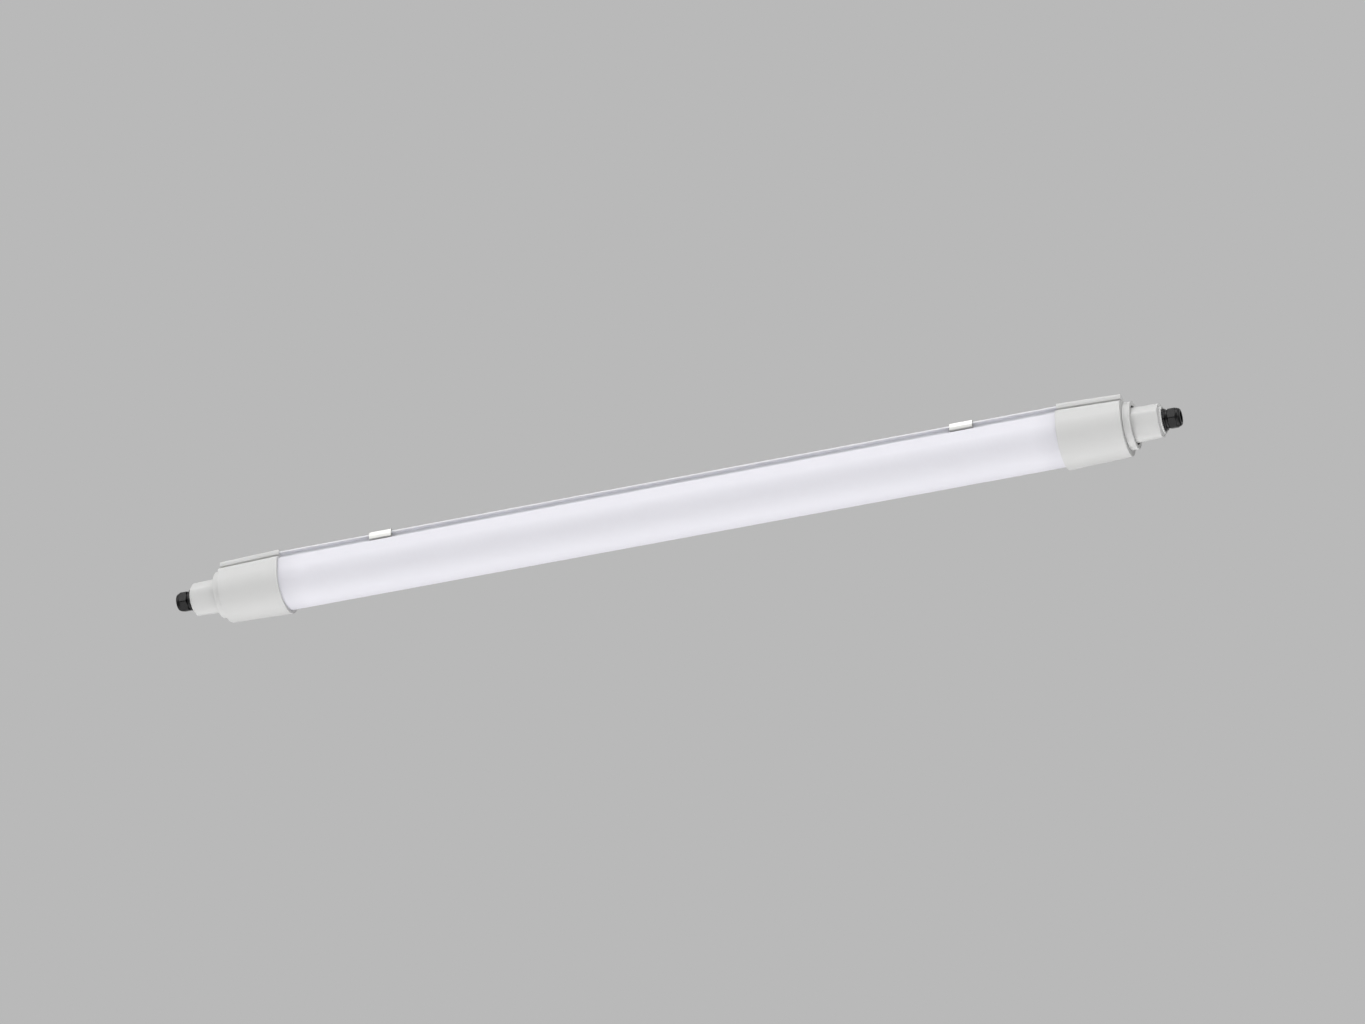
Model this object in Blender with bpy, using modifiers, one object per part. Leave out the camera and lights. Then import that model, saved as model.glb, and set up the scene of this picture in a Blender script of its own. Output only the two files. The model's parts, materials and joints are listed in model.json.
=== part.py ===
"""Weatherproof linear ceiling light, modelled piece by piece in metres, +Z up.

The origin is on the ceiling, half way along the light. The light runs along X and hangs below
the ceiling on two spring clips. The line through both cable glands is the light's own centre line.
Every place below is written from that line: x from mid length, y across, z up from the line.
"""
import math

import bmesh
import bpy
from mathutils import Matrix

# Whole light
light_length = 1.200
ceiling_above = 0.0275
seat_gap = 0.0003
cut_overrun = 0.001

# Tube: the housing and the diffuser share this section
tube_half_width = 0.0325
tube_depth_below = 0.0319
shoulder_above = 0.0143
flange_share = 0.8923
flange_above = 0.0251
flange_thickness = 0.0022
tube_in_cap = 0.0200

# Rear housing
web_share = 0.7538
housing_wall = 0.0020
foot_reach = 0.0035
foot_thickness = 0.0016
rail_above = 0.0024
rail_width = 0.0020
rail_thickness = 0.0014

# Diffuser
diffuser_wall = 0.0020
diffuser_hook_gap = 0.0005

# Tray, boards and LEDs
tray_thickness = 0.0015
tray_upstand = 0.0061
tray_short_of_tube = 0.0025
board_width_share = 0.483
board_thickness = 0.0016
board_gap_half = 0.0020
board_short_of_tray = 0.0100
leds_per_board = 32
led_length = 0.0035
led_width = 0.0028
led_height = 0.0008
screws_per_board = 2
screw_shank_radius = 0.0014
screw_head_radius = 0.0028
screw_head_height = 0.0018
screw_crown_share = 0.7
bridge_length = 0.0120
bridge_width = 0.0080
bridge_height = 0.0022

# Driver
driver_place = -0.1300
driver_length = 0.2000
driver_height = 0.0160
driver_side_gap = 0.0012
driver_wire_gap = 0.0010
driver_wall = 0.0015
lid_thickness = 0.0014
tab_length = 0.0100
tab_width = 0.0100
tab_thickness = 0.0020
driver_board_margin = 0.0020
transformer_length = 0.0240
transformer_width_share = 0.76
transformer_height = 0.0095
transformer_place_share = 0.10
capacitor_radius = 0.0045
capacitor_length = 0.0180
capacitor_place_shares = (-0.18, 0.33)
choke_length = 0.0140
choke_width_share = 0.56
choke_height = 0.0080
choke_place_share = -0.36

# Wires inside the light
wire_radius = 0.0011
wire_inset = 0.0021
wire_spacing = 0.0040
wire_straight = 0.0120
wire_bend = 0.0300
lead_radius = 0.0008
lead_inset = 0.0030
lead_spacing = 0.0045
lead_above_wire = 0.0034
lead_straight = 0.0080
lead_bend = 0.0200
lead_drop_radius = 0.0030
tap_length = 0.0120
tap_width = 0.0034
tap_height = 0.0042
window_half_length = 0.0035
window_margin = 0.0015

# End caps
cap_length = 0.0738
cap_taper_share = 0.94
cap_side_wall = 0.0040
cap_bottom_wall = 0.0042
cap_shoulder_wall = 0.0013
cap_shoulder_round = 0.0030
cap_groove_wall = 0.0027
cap_lip_wall = 0.0016
cap_top_wall = 0.0020
cap_lip_height = 0.0063
cap_lip_round = 0.0012
cap_end_wall = 0.0030
gasket_cover = 0.0023
gasket_top_cover = 0.0025
gasket_thickness = 0.0020
spigot_radius = 0.0236
spigot_bore_radius = 0.0190

# Lock ring, the collar between the cap and the terminal housing
ring_length = 0.0087
ring_radius = 0.0272
ring_edge = 0.0005
ring_lip_length = 0.0014
ring_lip_radius = 0.0226
slip_ring_thickness = 0.0008

# Terminal housing, the tapered neck
flange_ring_length = 0.0017
neck_radius = 0.0222
neck_end_radius = 0.0210
neck_power_share = 1.5
neck_length = 0.0296
neck_chamfer_length = 0.0020
neck_bore_radius = 0.0170
neck_bore_length = 0.0250
neck_throat_radius = 0.0130
neck_end_wall = 0.0035
rim_radius = 0.0155
rim_length = 0.0015
seal_thickness = 0.0010
seal_width = 0.0030

# Terminals
pole_radius = 0.0080
pin_radius = 0.0015
pin_length = 0.0230
pin_behind_cap = 0.0086
carrier_rim = 0.0022
carrier_thickness = 0.0025
carrier_nose = 0.0020
block_length = 0.0160
block_set_back = 0.0024
block_hole_radius = 0.0020

# Cable gland
gland_across_flats = 0.0240
nut_across_flats = 0.0220
hex_corner_share = 0.975
hex_chamfer = 0.0010
washer_thickness = 0.0008
washer_radius = 0.0125
gland_base_length = 0.0026
gland_tail_radius = 0.0098
gland_tail_length = 0.0085
gland_waist_radius = 0.0106
gland_waist_length = 0.0026
gland_thread_radius = 0.0095
gland_thread_length = 0.0070
gland_wall = 0.0014
gland_throat_radius = 0.0068
nut_hex_length = 0.0092
nut_ring_length = 0.0014
nut_dome_length = 0.0032
nut_ring_radius = 0.0107
nut_step = 0.0004
nut_tip_radius = 0.0078
nut_end_wall = 0.0028
cable_hole_radius = 0.0062
insert_bore_radius = 0.0045
insert_length = 0.0100
insert_nose = 0.0026

# Ceiling clips
clip_width = 0.0270
clip_sheet = 0.0008
clip_insets = {"left": 0.1445, "right": 0.1305}
clip_side_gap = 0.0020
clip_bottom_gap = 0.0025
clip_bend = 0.0012
clip_hook_inset = 0.0022
clip_screw_radius = 0.00225

# Smoothness of round pieces
arc_steps = 14
bend_steps = 3
round_steps = 20
small_steps = 10
wire_steps = 8
dome_steps = 4

end_turns = {"left": math.pi, "right": 0.0}
pole_names = ("live", "earth", "neutral")
ac_names = ("live", "neutral")
dc_names = ("plus", "minus")
pole_angles = [math.radians(90 + 120 * number) for number in range(3)]

# Stations along the light, from the tip of a cable gland inward
tip_x = light_length / 2
nut_ring_x = tip_x - nut_dome_length - nut_ring_length
nut_x = nut_ring_x - nut_hex_length
nut_floor_x = tip_x - nut_end_wall
waist_x = nut_x - seat_gap - gland_waist_length
base_x = waist_x - gland_base_length
thread_end_x = waist_x + gland_waist_length + gland_thread_length
insert_x = thread_end_x + insert_nose - insert_length
rim_end_x = base_x - seat_gap
washer_x = rim_end_x - washer_thickness
neck_wall_x = washer_x - seat_gap - neck_end_wall
chamfer_x = rim_end_x - rim_length - neck_chamfer_length
ring_end_x = chamfer_x - neck_length
ring_x = ring_end_x - ring_length
ring_lip_x = ring_end_x - ring_lip_length
slip_ring_x = ring_lip_x - seat_gap - slip_ring_thickness
neck_x = slip_ring_x - seat_gap
flange_ring_x = neck_x - flange_ring_length
seal_x = flange_ring_x - seat_gap - seal_thickness
spigot_end_x = seal_x - seat_gap
cap_end_x = ring_x - seat_gap
mouth_x = cap_end_x - cap_length
tube_end_x = mouth_x + tube_in_cap
gasket_x = tube_end_x + seat_gap
cap_seat_x = gasket_x + gasket_thickness + seat_gap
end_wall_x = cap_end_x - cap_end_wall
tray_end_x = tube_end_x - tray_short_of_tube
board_end_x = tray_end_x - board_short_of_tray
pin_x = cap_end_x - pin_behind_cap
block_x = flange_ring_x + block_set_back
tap_x = driver_place - driver_length / 2 - lead_bend - 2 * lead_straight
drop_x = seat_gap + lead_radius - board_gap_half

# Widths, heights and radii that pieces share
flange_half_width = tube_half_width * flange_share
web_half_width = tube_half_width * web_share
foot_half_width = web_half_width + foot_reach
flange_under = flange_above - flange_thickness
hook_under = shoulder_above - diffuser_wall
foot_top = hook_under - seat_gap
tray_bottom = rail_above + seat_gap
tray_top = tray_bottom + tray_thickness
board_top = tray_bottom - seat_gap
board_bottom = board_top - board_thickness
board_seat = board_bottom - seat_gap
web_inner = web_half_width - housing_wall
tray_inner = web_inner - seat_gap - tray_thickness
board_width = 2 * tray_inner * board_width_share
wire_places = [tray_inner - wire_inset - wire_spacing * step for step in (2, 1, 0)]
driver_right = wire_places[0] - wire_radius - driver_wire_gap
driver_left = driver_side_gap - tray_inner
driver_width = driver_right - driver_left
driver_offset = (driver_left + driver_right) / 2
lead_places = (driver_right - lead_inset - lead_spacing, driver_right - lead_inset)
driver_bottom = tray_top + seat_gap
driver_top = driver_bottom + driver_height
driver_board_top = driver_bottom + driver_wall + seat_gap + board_thickness
wire_above = tray_top + seat_gap + wire_radius
lead_above = wire_above + lead_above_wire
cap_half_width = tube_half_width + cap_side_wall
cap_depth_below = tube_depth_below + cap_bottom_wall
cap_shoulder_above = shoulder_above + cap_shoulder_wall
cap_groove_half_width = web_half_width + cap_groove_wall
cap_lip_half_width = flange_half_width + cap_lip_wall
cap_lip_above = flange_above + cap_top_wall
room_half_width = tube_half_width - gasket_cover
room_depth_below = tube_depth_below - gasket_cover
room_shoulder_above = shoulder_above - gasket_top_cover
room_web_half_width = web_half_width - gasket_top_cover
room_above = flange_above - gasket_top_cover
clip_half_width = flange_half_width + clip_side_gap
clip_bottom_above = shoulder_above + clip_bottom_gap
clip_hook_half_width = flange_half_width - clip_hook_inset
screw_hole_radius = screw_shank_radius + seat_gap
lead_hole_radius = lead_radius + seat_gap
ring_bore_radius = spigot_radius + seat_gap
tail_hole_radius = gland_tail_radius + seat_gap
gland_bore_radius = gland_thread_radius - gland_wall
nut_bore_radius = gland_thread_radius + seat_gap
block_radius = neck_bore_radius - seat_gap

part_name = "linear_ceiling_light"
cutter_name = "cutters"


def clear_file():
    """Remove the open file's objects and make one collection for parts and one for cutters."""
    for old in list(bpy.data.objects):
        bpy.data.objects.remove(old, do_unlink=True)
    for name in (part_name, cutter_name):
        bpy.context.scene.collection.children.link(bpy.data.collections.new(name))


def add_object(name, data, carrier, turn=(0, 0, 0)):
    """An object in the parts collection, carried by an empty."""
    made = bpy.data.objects.new(name, data)
    made.rotation_euler = turn
    made.parent = carrier
    bpy.data.collections[part_name].objects.link(made)
    return made


def stand(name, turn):
    """An empty on the centre line that carries pieces, turned about the vertical."""
    empty = add_object(name, None, None, (0, 0, turn))
    empty.location = (0, 0, -ceiling_above)
    return empty


def combine(piece, tool, operation):
    """Cut a piece with a tool, join them, or keep what they share."""
    bpy.data.collections[part_name].objects.unlink(tool)
    bpy.data.collections[cutter_name].objects.link(tool)
    tool.hide_render = True
    tool.display_type = "WIRE"
    boolean = piece.modifiers.new(tool.name, "BOOLEAN")
    boolean.operation = operation
    boolean.object = tool
    return piece


def finish(piece, name, colour, roughness, metallic=0.0):
    """Give a piece its material, and shade a mesh smooth except at its sharp edges."""
    material = bpy.data.materials.get(name)
    if not material:
        material = bpy.data.materials.new(name)
        material.use_nodes = True
        shader = material.node_tree.nodes["Principled BSDF"]
        shader.inputs["Base Color"].default_value = (*colour, 1.0)
        shader.inputs["Roughness"].default_value = roughness
        shader.inputs["Metallic"].default_value = metallic
    piece.data.materials.append(material)
    if piece.type == "MESH":
        piece.data.shade_smooth()
        piece.data.set_sharp_from_angle(angle=math.radians(35))
    return piece


def white_plastic(piece):
    """Off-white moulded plastic, as on the caps."""
    return finish(piece, "white_moulded_plastic", (0.72, 0.72, 0.70), 0.55)


def black_plastic(piece):
    """Black nylon, as on the cable glands."""
    return finish(piece, "black_nylon", (0.012, 0.012, 0.013), 0.42)


def rubber(piece):
    """Dark grey sealing rubber."""
    return finish(piece, "sealing_rubber", (0.05, 0.05, 0.055), 0.75)


def steel(piece):
    """Bright spring steel."""
    return finish(piece, "stainless_steel", (0.66, 0.66, 0.65), 0.28, 1.0)


def brass(piece):
    """Plain brass."""
    return finish(piece, "brass", (0.80, 0.60, 0.28), 0.30, 1.0)


def arc(half_width, depth, start, end):
    """Points on an ellipse about the centre line, with angles in degrees from +y."""
    turns = [math.radians(start + (end - start) * step / arc_steps) for step in range(arc_steps + 1)]
    return [(half_width * math.cos(turn), depth * math.sin(turn)) for turn in turns]


def round_corner(before, corner, after, radius):
    """The arc that replaces one square corner of an outline."""
    towards = [(end[0] - corner[0], end[1] - corner[1]) for end in (before, after)]
    towards = [(y / math.hypot(y, z), z / math.hypot(y, z)) for y, z in towards]
    points = []
    for step in range(bend_steps + 1):
        turn = math.pi / 2 * step / bend_steps
        back, on = 1 - math.sin(turn), 1 - math.cos(turn)
        points.append(tuple(corner[side] + radius * (towards[0][side] * back + towards[1][side] * on)
                            for side in (0, 1)))
    return points


def both_sides(half):
    """A closed outline from its right half, mirrored across y = 0."""
    return half + [(-y, z) for y, z in reversed(half) if y > seat_gap / 10]


def evaluated_mesh(source):
    """The mesh that an object shows, in its own space, and the object removed."""
    bpy.context.view_layer.update()
    shown = source.evaluated_get(bpy.context.evaluated_depsgraph_get())
    mesh = bpy.data.meshes.new_from_object(shown)
    bpy.data.objects.remove(source)
    return mesh


def prism(name, outline, x_from, x_to, carrier):
    """A flat outline in y and z, given its length along x."""
    curve = bpy.data.curves.new(name, "CURVE")
    curve.dimensions = "2D"
    curve.fill_mode = "BOTH"
    curve.extrude = (x_to - x_from) / 2
    line = curve.splines.new("POLY")
    line.points.add(len(outline) - 1)
    for point, (y, z) in zip(line.points, outline):
        point.co = (y, z, 0, 1)
    line.use_cyclic_u = True
    drawn = add_object(f"{name}_outline", curve, None, (math.pi / 2, 0, math.pi / 2))
    drawn.location = ((x_from + x_to) / 2, 0, 0)
    bpy.context.view_layer.update()
    place = drawn.matrix_world.copy()
    mesh = evaluated_mesh(drawn)
    mesh.transform(place)
    shape = bmesh.new()
    shape.from_mesh(mesh)
    bmesh.ops.remove_doubles(shape, verts=shape.verts, dist=seat_gap / 100)
    middle = (x_from + x_to) / 2
    flat_ends = [face for face in shape.faces if len({vert.co.x > middle for vert in face.verts}) == 1]
    bmesh.ops.dissolve_faces(shape, faces=flat_ends)
    bmesh.ops.recalc_face_normals(shape, faces=shape.faces)
    shape.to_mesh(mesh)
    shape.free()
    return add_object(name, mesh, carrier)


def turned(name, profile, carrier, steps=round_steps, closed=True):
    """A profile of (x, radius) points turned about the centre line, outer side first."""
    mesh = bpy.data.meshes.new(name)
    count = len(profile)
    edges = [(number, (number + 1) % count) for number in range(count if closed else count - 1)]
    mesh.from_pydata([(radius, 0, x) for x, radius in profile], edges, [])
    piece = add_object(name, mesh, carrier, (0, math.pi / 2, 0))
    screw = piece.modifiers.new("turned", "SCREW")
    screw.angle = 2 * math.pi
    screw.steps = steps
    screw.render_steps = steps
    screw.use_merge_vertices = True
    screw.merge_threshold = seat_gap / 100
    return piece


def ring(name, x_from, x_to, inner, outer, carrier):
    """A plain ring of square section."""
    profile = [(x_to, outer), (x_from, outer), (x_from, inner), (x_to, inner)]
    return turned(name, profile, carrier)


def disc(name, x_from, x_to, radius, carrier):
    """A plain round bar on the centre line."""
    profile = [(x_to, 0), (x_to, radius), (x_from, radius), (x_from, 0)]
    return turned(name, profile, carrier, closed=False)


def solids(name, shapes, carrier):
    """Boxes and round bars in one mesh: each a place, and three sides or a radius and a length."""
    mesh = bpy.data.meshes.new(name)
    shape = bmesh.new()
    for place, size in shapes:
        if len(size) == 3:
            bmesh.ops.create_cube(shape, size=1, matrix=place @ Matrix.Diagonal((*size, 1)))
        else:
            bmesh.ops.create_cone(shape, cap_ends=True, segments=small_steps, radius1=size[0],
                                  radius2=size[0], depth=size[1], matrix=place)
    shape.to_mesh(mesh)
    shape.free()
    return add_object(name, mesh, carrier)


def at(x, y, z):
    """A place."""
    return Matrix.Translation((x, y, z))


def along_x(x_from, x_to, y, z):
    """The place and length of a round bar that lies along x, without its radius."""
    return at((x_from + x_to) / 2, y, z) @ Matrix.Rotation(math.pi / 2, 4, "Y"), x_to - x_from


def pole(angle):
    """Where a pole stands, as y and z."""
    return pole_radius * math.cos(angle), pole_radius * math.sin(angle)


def wire(name, route, radius, carrier):
    """A wire along a route of (x, y, z) points."""
    curve = bpy.data.curves.new(name, "CURVE")
    curve.dimensions = "3D"
    curve.bevel_depth = radius
    curve.bevel_resolution = 2
    curve.use_fill_caps = True
    line = curve.splines.new("POLY")
    line.points.add(len(route) - 1)
    for point, place in zip(line.points, route):
        point.co = (*place, 1)
    return add_object(name, curve, carrier)


def screw(name, place, turn, reach, carrier):
    """A pan head screw: its place is under the head, and its shank has the given reach."""
    profile = [(screw_head_height, 0), (screw_head_height, screw_head_radius * screw_crown_share),
               (screw_head_height / 2, screw_head_radius), (0, screw_head_radius),
               (0, screw_shank_radius), (-reach, screw_shank_radius), (-reach, 0)]
    piece = turned(name, profile, carrier, small_steps, closed=False)
    piece.location = place
    piece.rotation_euler = (turn, 0, 0)
    return steel(piece)


def tube_outline(extra):
    """The outside of the housing and diffuser together, grown by a clearance."""
    side = tube_half_width + extra
    half = [(flange_half_width + extra, flange_above + extra),
            (flange_half_width + extra, flange_under - extra),
            (web_half_width + extra, flange_under - extra),
            (web_half_width + extra, shoulder_above + extra),
            (side, shoulder_above + extra)]
    return both_sides(half + arc(side, tube_depth_below + extra, 0, -90))


def room_outline():
    """The hollow of an end cap, which is also the hole in its gasket."""
    half = [(room_web_half_width, room_above), (room_web_half_width, room_shoulder_above),
            (room_half_width, room_shoulder_above)]
    return both_sides(half + arc(room_half_width, room_depth_below, 0, -90))


def make_housing(body):
    """The extruded rear housing: flange, two webs, a foot for the diffuser and rails for the tray."""
    foot_under = foot_top - foot_thickness
    rail_under = rail_above - rail_thickness
    rail_inner = web_inner - rail_width
    half = [(flange_half_width, flange_above), (flange_half_width, flange_under),
            (web_half_width, flange_under), (web_half_width, foot_top),
            (foot_half_width, foot_top), (foot_half_width, foot_under),
            (web_half_width, foot_under), (web_half_width, rail_under),
            (rail_inner, rail_under), (rail_inner, rail_above),
            (web_inner, rail_above), (web_inner, flange_under)]
    white_plastic(prism("rear_housing", both_sides(half), -tube_end_x, tube_end_x, body))


def make_diffuser(body):
    """The frosted diffuser, whose inward hooks rest on the housing's feet."""
    hook = web_half_width + diffuser_hook_gap
    inside = tube_half_width - diffuser_wall
    outer = [(hook, shoulder_above), (tube_half_width, shoulder_above)]
    outer += arc(tube_half_width, tube_depth_below, 0, -90)
    inner = arc(inside, tube_depth_below - diffuser_wall, -90, 0)
    inner += [(inside, hook_under), (hook, hook_under)]
    outer_left = [(-y, z) for y, z in reversed(outer[:-1])]
    inner_left = [(-y, z) for y, z in reversed(inner[1:])]
    outline = outer + outer_left + inner_left + inner
    diffuser = prism("diffuser", outline, -tube_end_x, tube_end_x, body)
    finish(diffuser, "frosted_diffuser", (0.86, 0.86, 0.87), 0.40)


def screw_stations():
    """Where the board screws stand along the light, each halfway between two LEDs."""
    pitch = (board_end_x - board_gap_half) / leds_per_board
    spacing = leds_per_board // screws_per_board
    rows = [spacing * number + spacing // 2 for number in range(screws_per_board)]
    places = [board_gap_half + pitch * row for row in rows]
    return places + [-place for place in places]


def tab_stations():
    """Where the driver's two fixing screws stand along the light."""
    reach = (driver_length + tab_length) / 2
    return [driver_place - reach, driver_place + reach]


def make_tray(body):
    """The folded aluminium tray, which carries the boards below it and the driver above it."""
    side = tray_inner + tray_thickness
    rim = tray_bottom + tray_upstand
    half = [(tray_inner, rim), (side, rim), (side, tray_bottom)]
    outline = half + [(-y, z) for y, z in reversed(half)]
    outline += [(-tray_inner, tray_top), (tray_inner, tray_top)]
    tray = prism("led_tray", outline, -tray_end_x, tray_end_x, body)
    middle = (tray_bottom + tray_top) / 2
    depth = tray_thickness + 2 * cut_overrun
    holes = [(at(x, 0, middle), (screw_hole_radius, depth)) for x in screw_stations()]
    holes += [(at(x, driver_offset, middle), (screw_hole_radius, depth)) for x in tab_stations()]
    combine(tray, solids("tray_holes", holes, body), "DIFFERENCE")
    width = lead_places[1] - lead_places[0] + 2 * (lead_radius + window_margin)
    window = [(at(drop_x, sum(lead_places) / 2, middle), (2 * window_half_length, width, depth))]
    combine(tray, solids("tray_window", window, body), "DIFFERENCE")
    finish(tray, "mill_aluminium", (0.75, 0.76, 0.77), 0.35, 1.0)


def make_boards(body):
    """Two LED boards under the tray, each with its LEDs, their screws and the plug that bridges them."""
    length = board_end_x - board_gap_half
    pitch = length / leds_per_board
    middle = (board_top + board_bottom) / 2
    led_depth = led_height + board_thickness / 2
    for name, side in (("left", -1), ("right", 1)):
        place = at(side * (board_gap_half + length / 2), 0, middle)
        board = solids(f"led_board_{name}", [(place, (length, board_width, board_thickness))], body)
        leds = []
        for number in range(leds_per_board):
            x = side * (board_gap_half + pitch * (number + 0.5))
            leds.append((at(x, 0, middle - led_depth / 2), (led_length, led_width, led_depth)))
        combine(board, solids(f"leds_{name}", leds, body), "UNION")
        stations = [x for x in screw_stations() if x * side > 0]
        depth = board_thickness + 2 * cut_overrun
        holes = [(at(x, 0, middle), (screw_hole_radius, depth)) for x in stations]
        combine(board, solids(f"board_holes_{name}", holes, body), "DIFFERENCE")
        finish(board, "white_circuit_board", (0.85, 0.86, 0.85), 0.45)
    reach = board_thickness + tray_thickness + seat_gap
    for number, x in enumerate(screw_stations(), 1):
        screw(f"led_board_screw_{number}", (x, 0, board_seat), math.pi, reach, body)
    bridge = [(at(0, 0, board_seat - bridge_height / 2), (bridge_length, bridge_width, bridge_height))]
    white_plastic(solids("board_bridge", bridge, body))


def make_driver(body):
    """The driver on the tray: an open case with two tabs, its lid, its board and what stands on it."""
    case_middle = (driver_bottom + driver_top) / 2
    outer = (driver_length, driver_width, driver_height)
    case = solids("driver_case", [(at(driver_place, driver_offset, case_middle), outer)], body)
    tab_size = (tab_length + driver_wall, tab_width, tab_thickness)
    tab_z = driver_bottom + tab_thickness / 2
    tabs = []
    for side in (-1, 1):
        x = driver_place + side * (driver_length - driver_wall + tab_length) / 2
        tabs.append((at(x, driver_offset, tab_z), tab_size))
    combine(case, solids("driver_tabs", tabs, body), "UNION")
    room = (driver_length - 2 * driver_wall, driver_width - 2 * driver_wall, driver_height)
    hollow = [(at(driver_place, driver_offset, case_middle + driver_wall), room)]
    combine(case, solids("driver_hollow", hollow, body), "DIFFERENCE")
    holes = [(at(x, driver_offset, tab_z), (screw_hole_radius, 2 * tab_thickness)) for x in tab_stations()]
    for side in (-1, 1):
        wall_x = driver_place + side * (driver_length - driver_wall) / 2
        for y in lead_places:
            place, length = along_x(wall_x - driver_wall, wall_x + driver_wall, y, lead_above)
            holes.append((place, (lead_hole_radius, length)))
    combine(case, solids("driver_holes", holes, body), "DIFFERENCE")
    white_plastic(case)
    lid_z = driver_top + seat_gap + lid_thickness / 2
    lid_size = (driver_length, driver_width, lid_thickness)
    white_plastic(solids("driver_lid", [(at(driver_place, driver_offset, lid_z), lid_size)], body))
    board_size = (room[0] - 2 * driver_board_margin, room[1] - 2 * seat_gap, board_thickness)
    board_z = driver_board_top - board_thickness / 2
    board = solids("driver_board", [(at(driver_place, driver_offset, board_z), board_size)], body)
    components = []
    blocks = ((transformer_length, transformer_width_share, transformer_height, transformer_place_share),
              (choke_length, choke_width_share, choke_height, choke_place_share))
    for length, width_share, height, place_share in blocks:
        x = driver_place + place_share * driver_length
        depth = driver_board_top - board_z + height
        components.append((at(x, driver_offset, board_z + depth / 2), (length, room[1] * width_share, depth)))
    for share in capacitor_place_shares:
        x = driver_place + share * driver_length
        place, length = along_x(x - capacitor_length / 2, x + capacitor_length / 2, driver_offset,
                                board_z + capacitor_radius)
        components.append((place, (capacitor_radius, length)))
    combine(board, solids("driver_components", components, body), "UNION")
    finish(board, "green_circuit_board", (0.05, 0.22, 0.09), 0.45)
    reach = tab_thickness + seat_gap + tray_thickness
    for name, x in zip(end_turns, tab_stations()):
        seat = driver_bottom + tab_thickness + seat_gap
        screw(f"driver_screw_{name}", (x, driver_offset, seat), 0, reach, body)


def smooth(share):
    """A share from 0 to 1 with a level start and end."""
    return share * share * (3 - 2 * share)


def blend(start, end, x_from, x_to):
    """Points that pass smoothly from one (y, z) place to another between two stations."""
    points = []
    for step in range(wire_steps + 1):
        share = step / wire_steps
        y, z = [a + (b - a) * smooth(share) for a, b in zip(start, end)]
        points.append((x_from + (x_to - x_from) * share, y, z))
    return points


def make_wires(body):
    """Three wires from end to end, two taps on them, and the leads into and out of the driver."""
    bend_x = pin_x - seat_gap - wire_straight
    for name, y, angle in zip(pole_names, wire_places, (pole_angles[1], pole_angles[0], pole_angles[2])):
        half = blend((y, wire_above), pole(angle), bend_x - wire_bend, bend_x)
        half.append((pin_x - seat_gap, *pole(angle)))
        route = [(-x, across, up) for x, across, up in reversed(half)] + half
        finish(wire(f"through_wire_{name}", route, wire_radius, body), "grey_wire", (0.35, 0.35, 0.36), 0.50)
    tap_z = wire_above + wire_radius + seat_gap + tap_height / 2
    inside = driver_wall + driver_board_margin / 2
    left = driver_place - driver_length / 2
    right = driver_place + driver_length / 2
    tapped = (wire_places[0], wire_places[2])
    for name, dc_name, y, tap_y in zip(ac_names, dc_names, lead_places, tapped):
        tap = [(at(tap_x - tap_length / 2, tap_y, tap_z), (tap_length, tap_width, tap_height))]
        white_plastic(solids(f"wire_tap_{name}", tap, body))
        bent = blend((y, lead_above), (tap_y, lead_above), left - lead_straight,
                     left - lead_straight - lead_bend)
        route = [(left + inside, y, lead_above)] + bent + [(tap_x + seat_gap, tap_y, lead_above)]
        finish(wire(f"ac_lead_{name}", route, lead_radius, body), "brown_wire", (0.16, 0.07, 0.03), 0.50)
        route = [(right - inside, y, lead_above)]
        for step in range(wire_steps + 1):
            turn = math.pi / 2 * step / wire_steps
            route.append((drop_x - lead_drop_radius * (1 - math.sin(turn)), y,
                          lead_above - lead_drop_radius * (1 - math.cos(turn))))
        route.append((drop_x, y, board_bottom))
        finish(wire(f"dc_lead_{dc_name}", route, lead_radius, body), "red_wire", (0.45, 0.03, 0.02), 0.50)


def make_cap(side, end):
    """An end cap, which takes the tube and its gasket and has a round spigot at its outer end."""
    lip_under = cap_lip_above - cap_lip_height
    top = (0, cap_lip_above)
    lip = (cap_lip_half_width, cap_lip_above)
    shoulder = (cap_half_width, cap_shoulder_above)
    half = round_corner(top, lip, (cap_lip_half_width, lip_under), cap_lip_round)
    half += [(cap_lip_half_width, lip_under), (cap_groove_half_width, lip_under),
             (cap_groove_half_width, cap_shoulder_above)]
    half += round_corner(half[-1], shoulder, (cap_half_width, 0), cap_shoulder_round)
    half += arc(cap_half_width, cap_depth_below, 0, -90)
    cap = prism(f"{side}_end_cap", both_sides(half), mouth_x, cap_end_x, end)
    for vertex in cap.data.vertices:
        if vertex.co.x > tube_end_x:
            vertex.co.y *= cap_taper_share
            vertex.co.z *= cap_taper_share
    spigot = disc(f"{side}_spigot", end_wall_x + cap_end_wall / 2, spigot_end_x, spigot_radius, end)
    combine(cap, spigot, "UNION")
    pocket = prism(f"{side}_pocket", tube_outline(seat_gap), mouth_x - cut_overrun, cap_seat_x, end)
    combine(cap, pocket, "DIFFERENCE")
    room = prism(f"{side}_room", room_outline(), cap_seat_x - cut_overrun, end_wall_x, end)
    combine(cap, room, "DIFFERENCE")
    bore = disc(f"{side}_spigot_bore", end_wall_x - cut_overrun, spigot_end_x + cut_overrun,
                spigot_bore_radius, end)
    combine(cap, bore, "DIFFERENCE")
    white_plastic(cap)
    gasket = prism(f"{side}_cap_gasket", tube_outline(0), gasket_x, gasket_x + gasket_thickness, end)
    hole = prism(f"{side}_gasket_hole", room_outline(), gasket_x - cut_overrun,
                 gasket_x + gasket_thickness + cut_overrun, end)
    rubber(combine(gasket, hole, "DIFFERENCE"))


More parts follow.
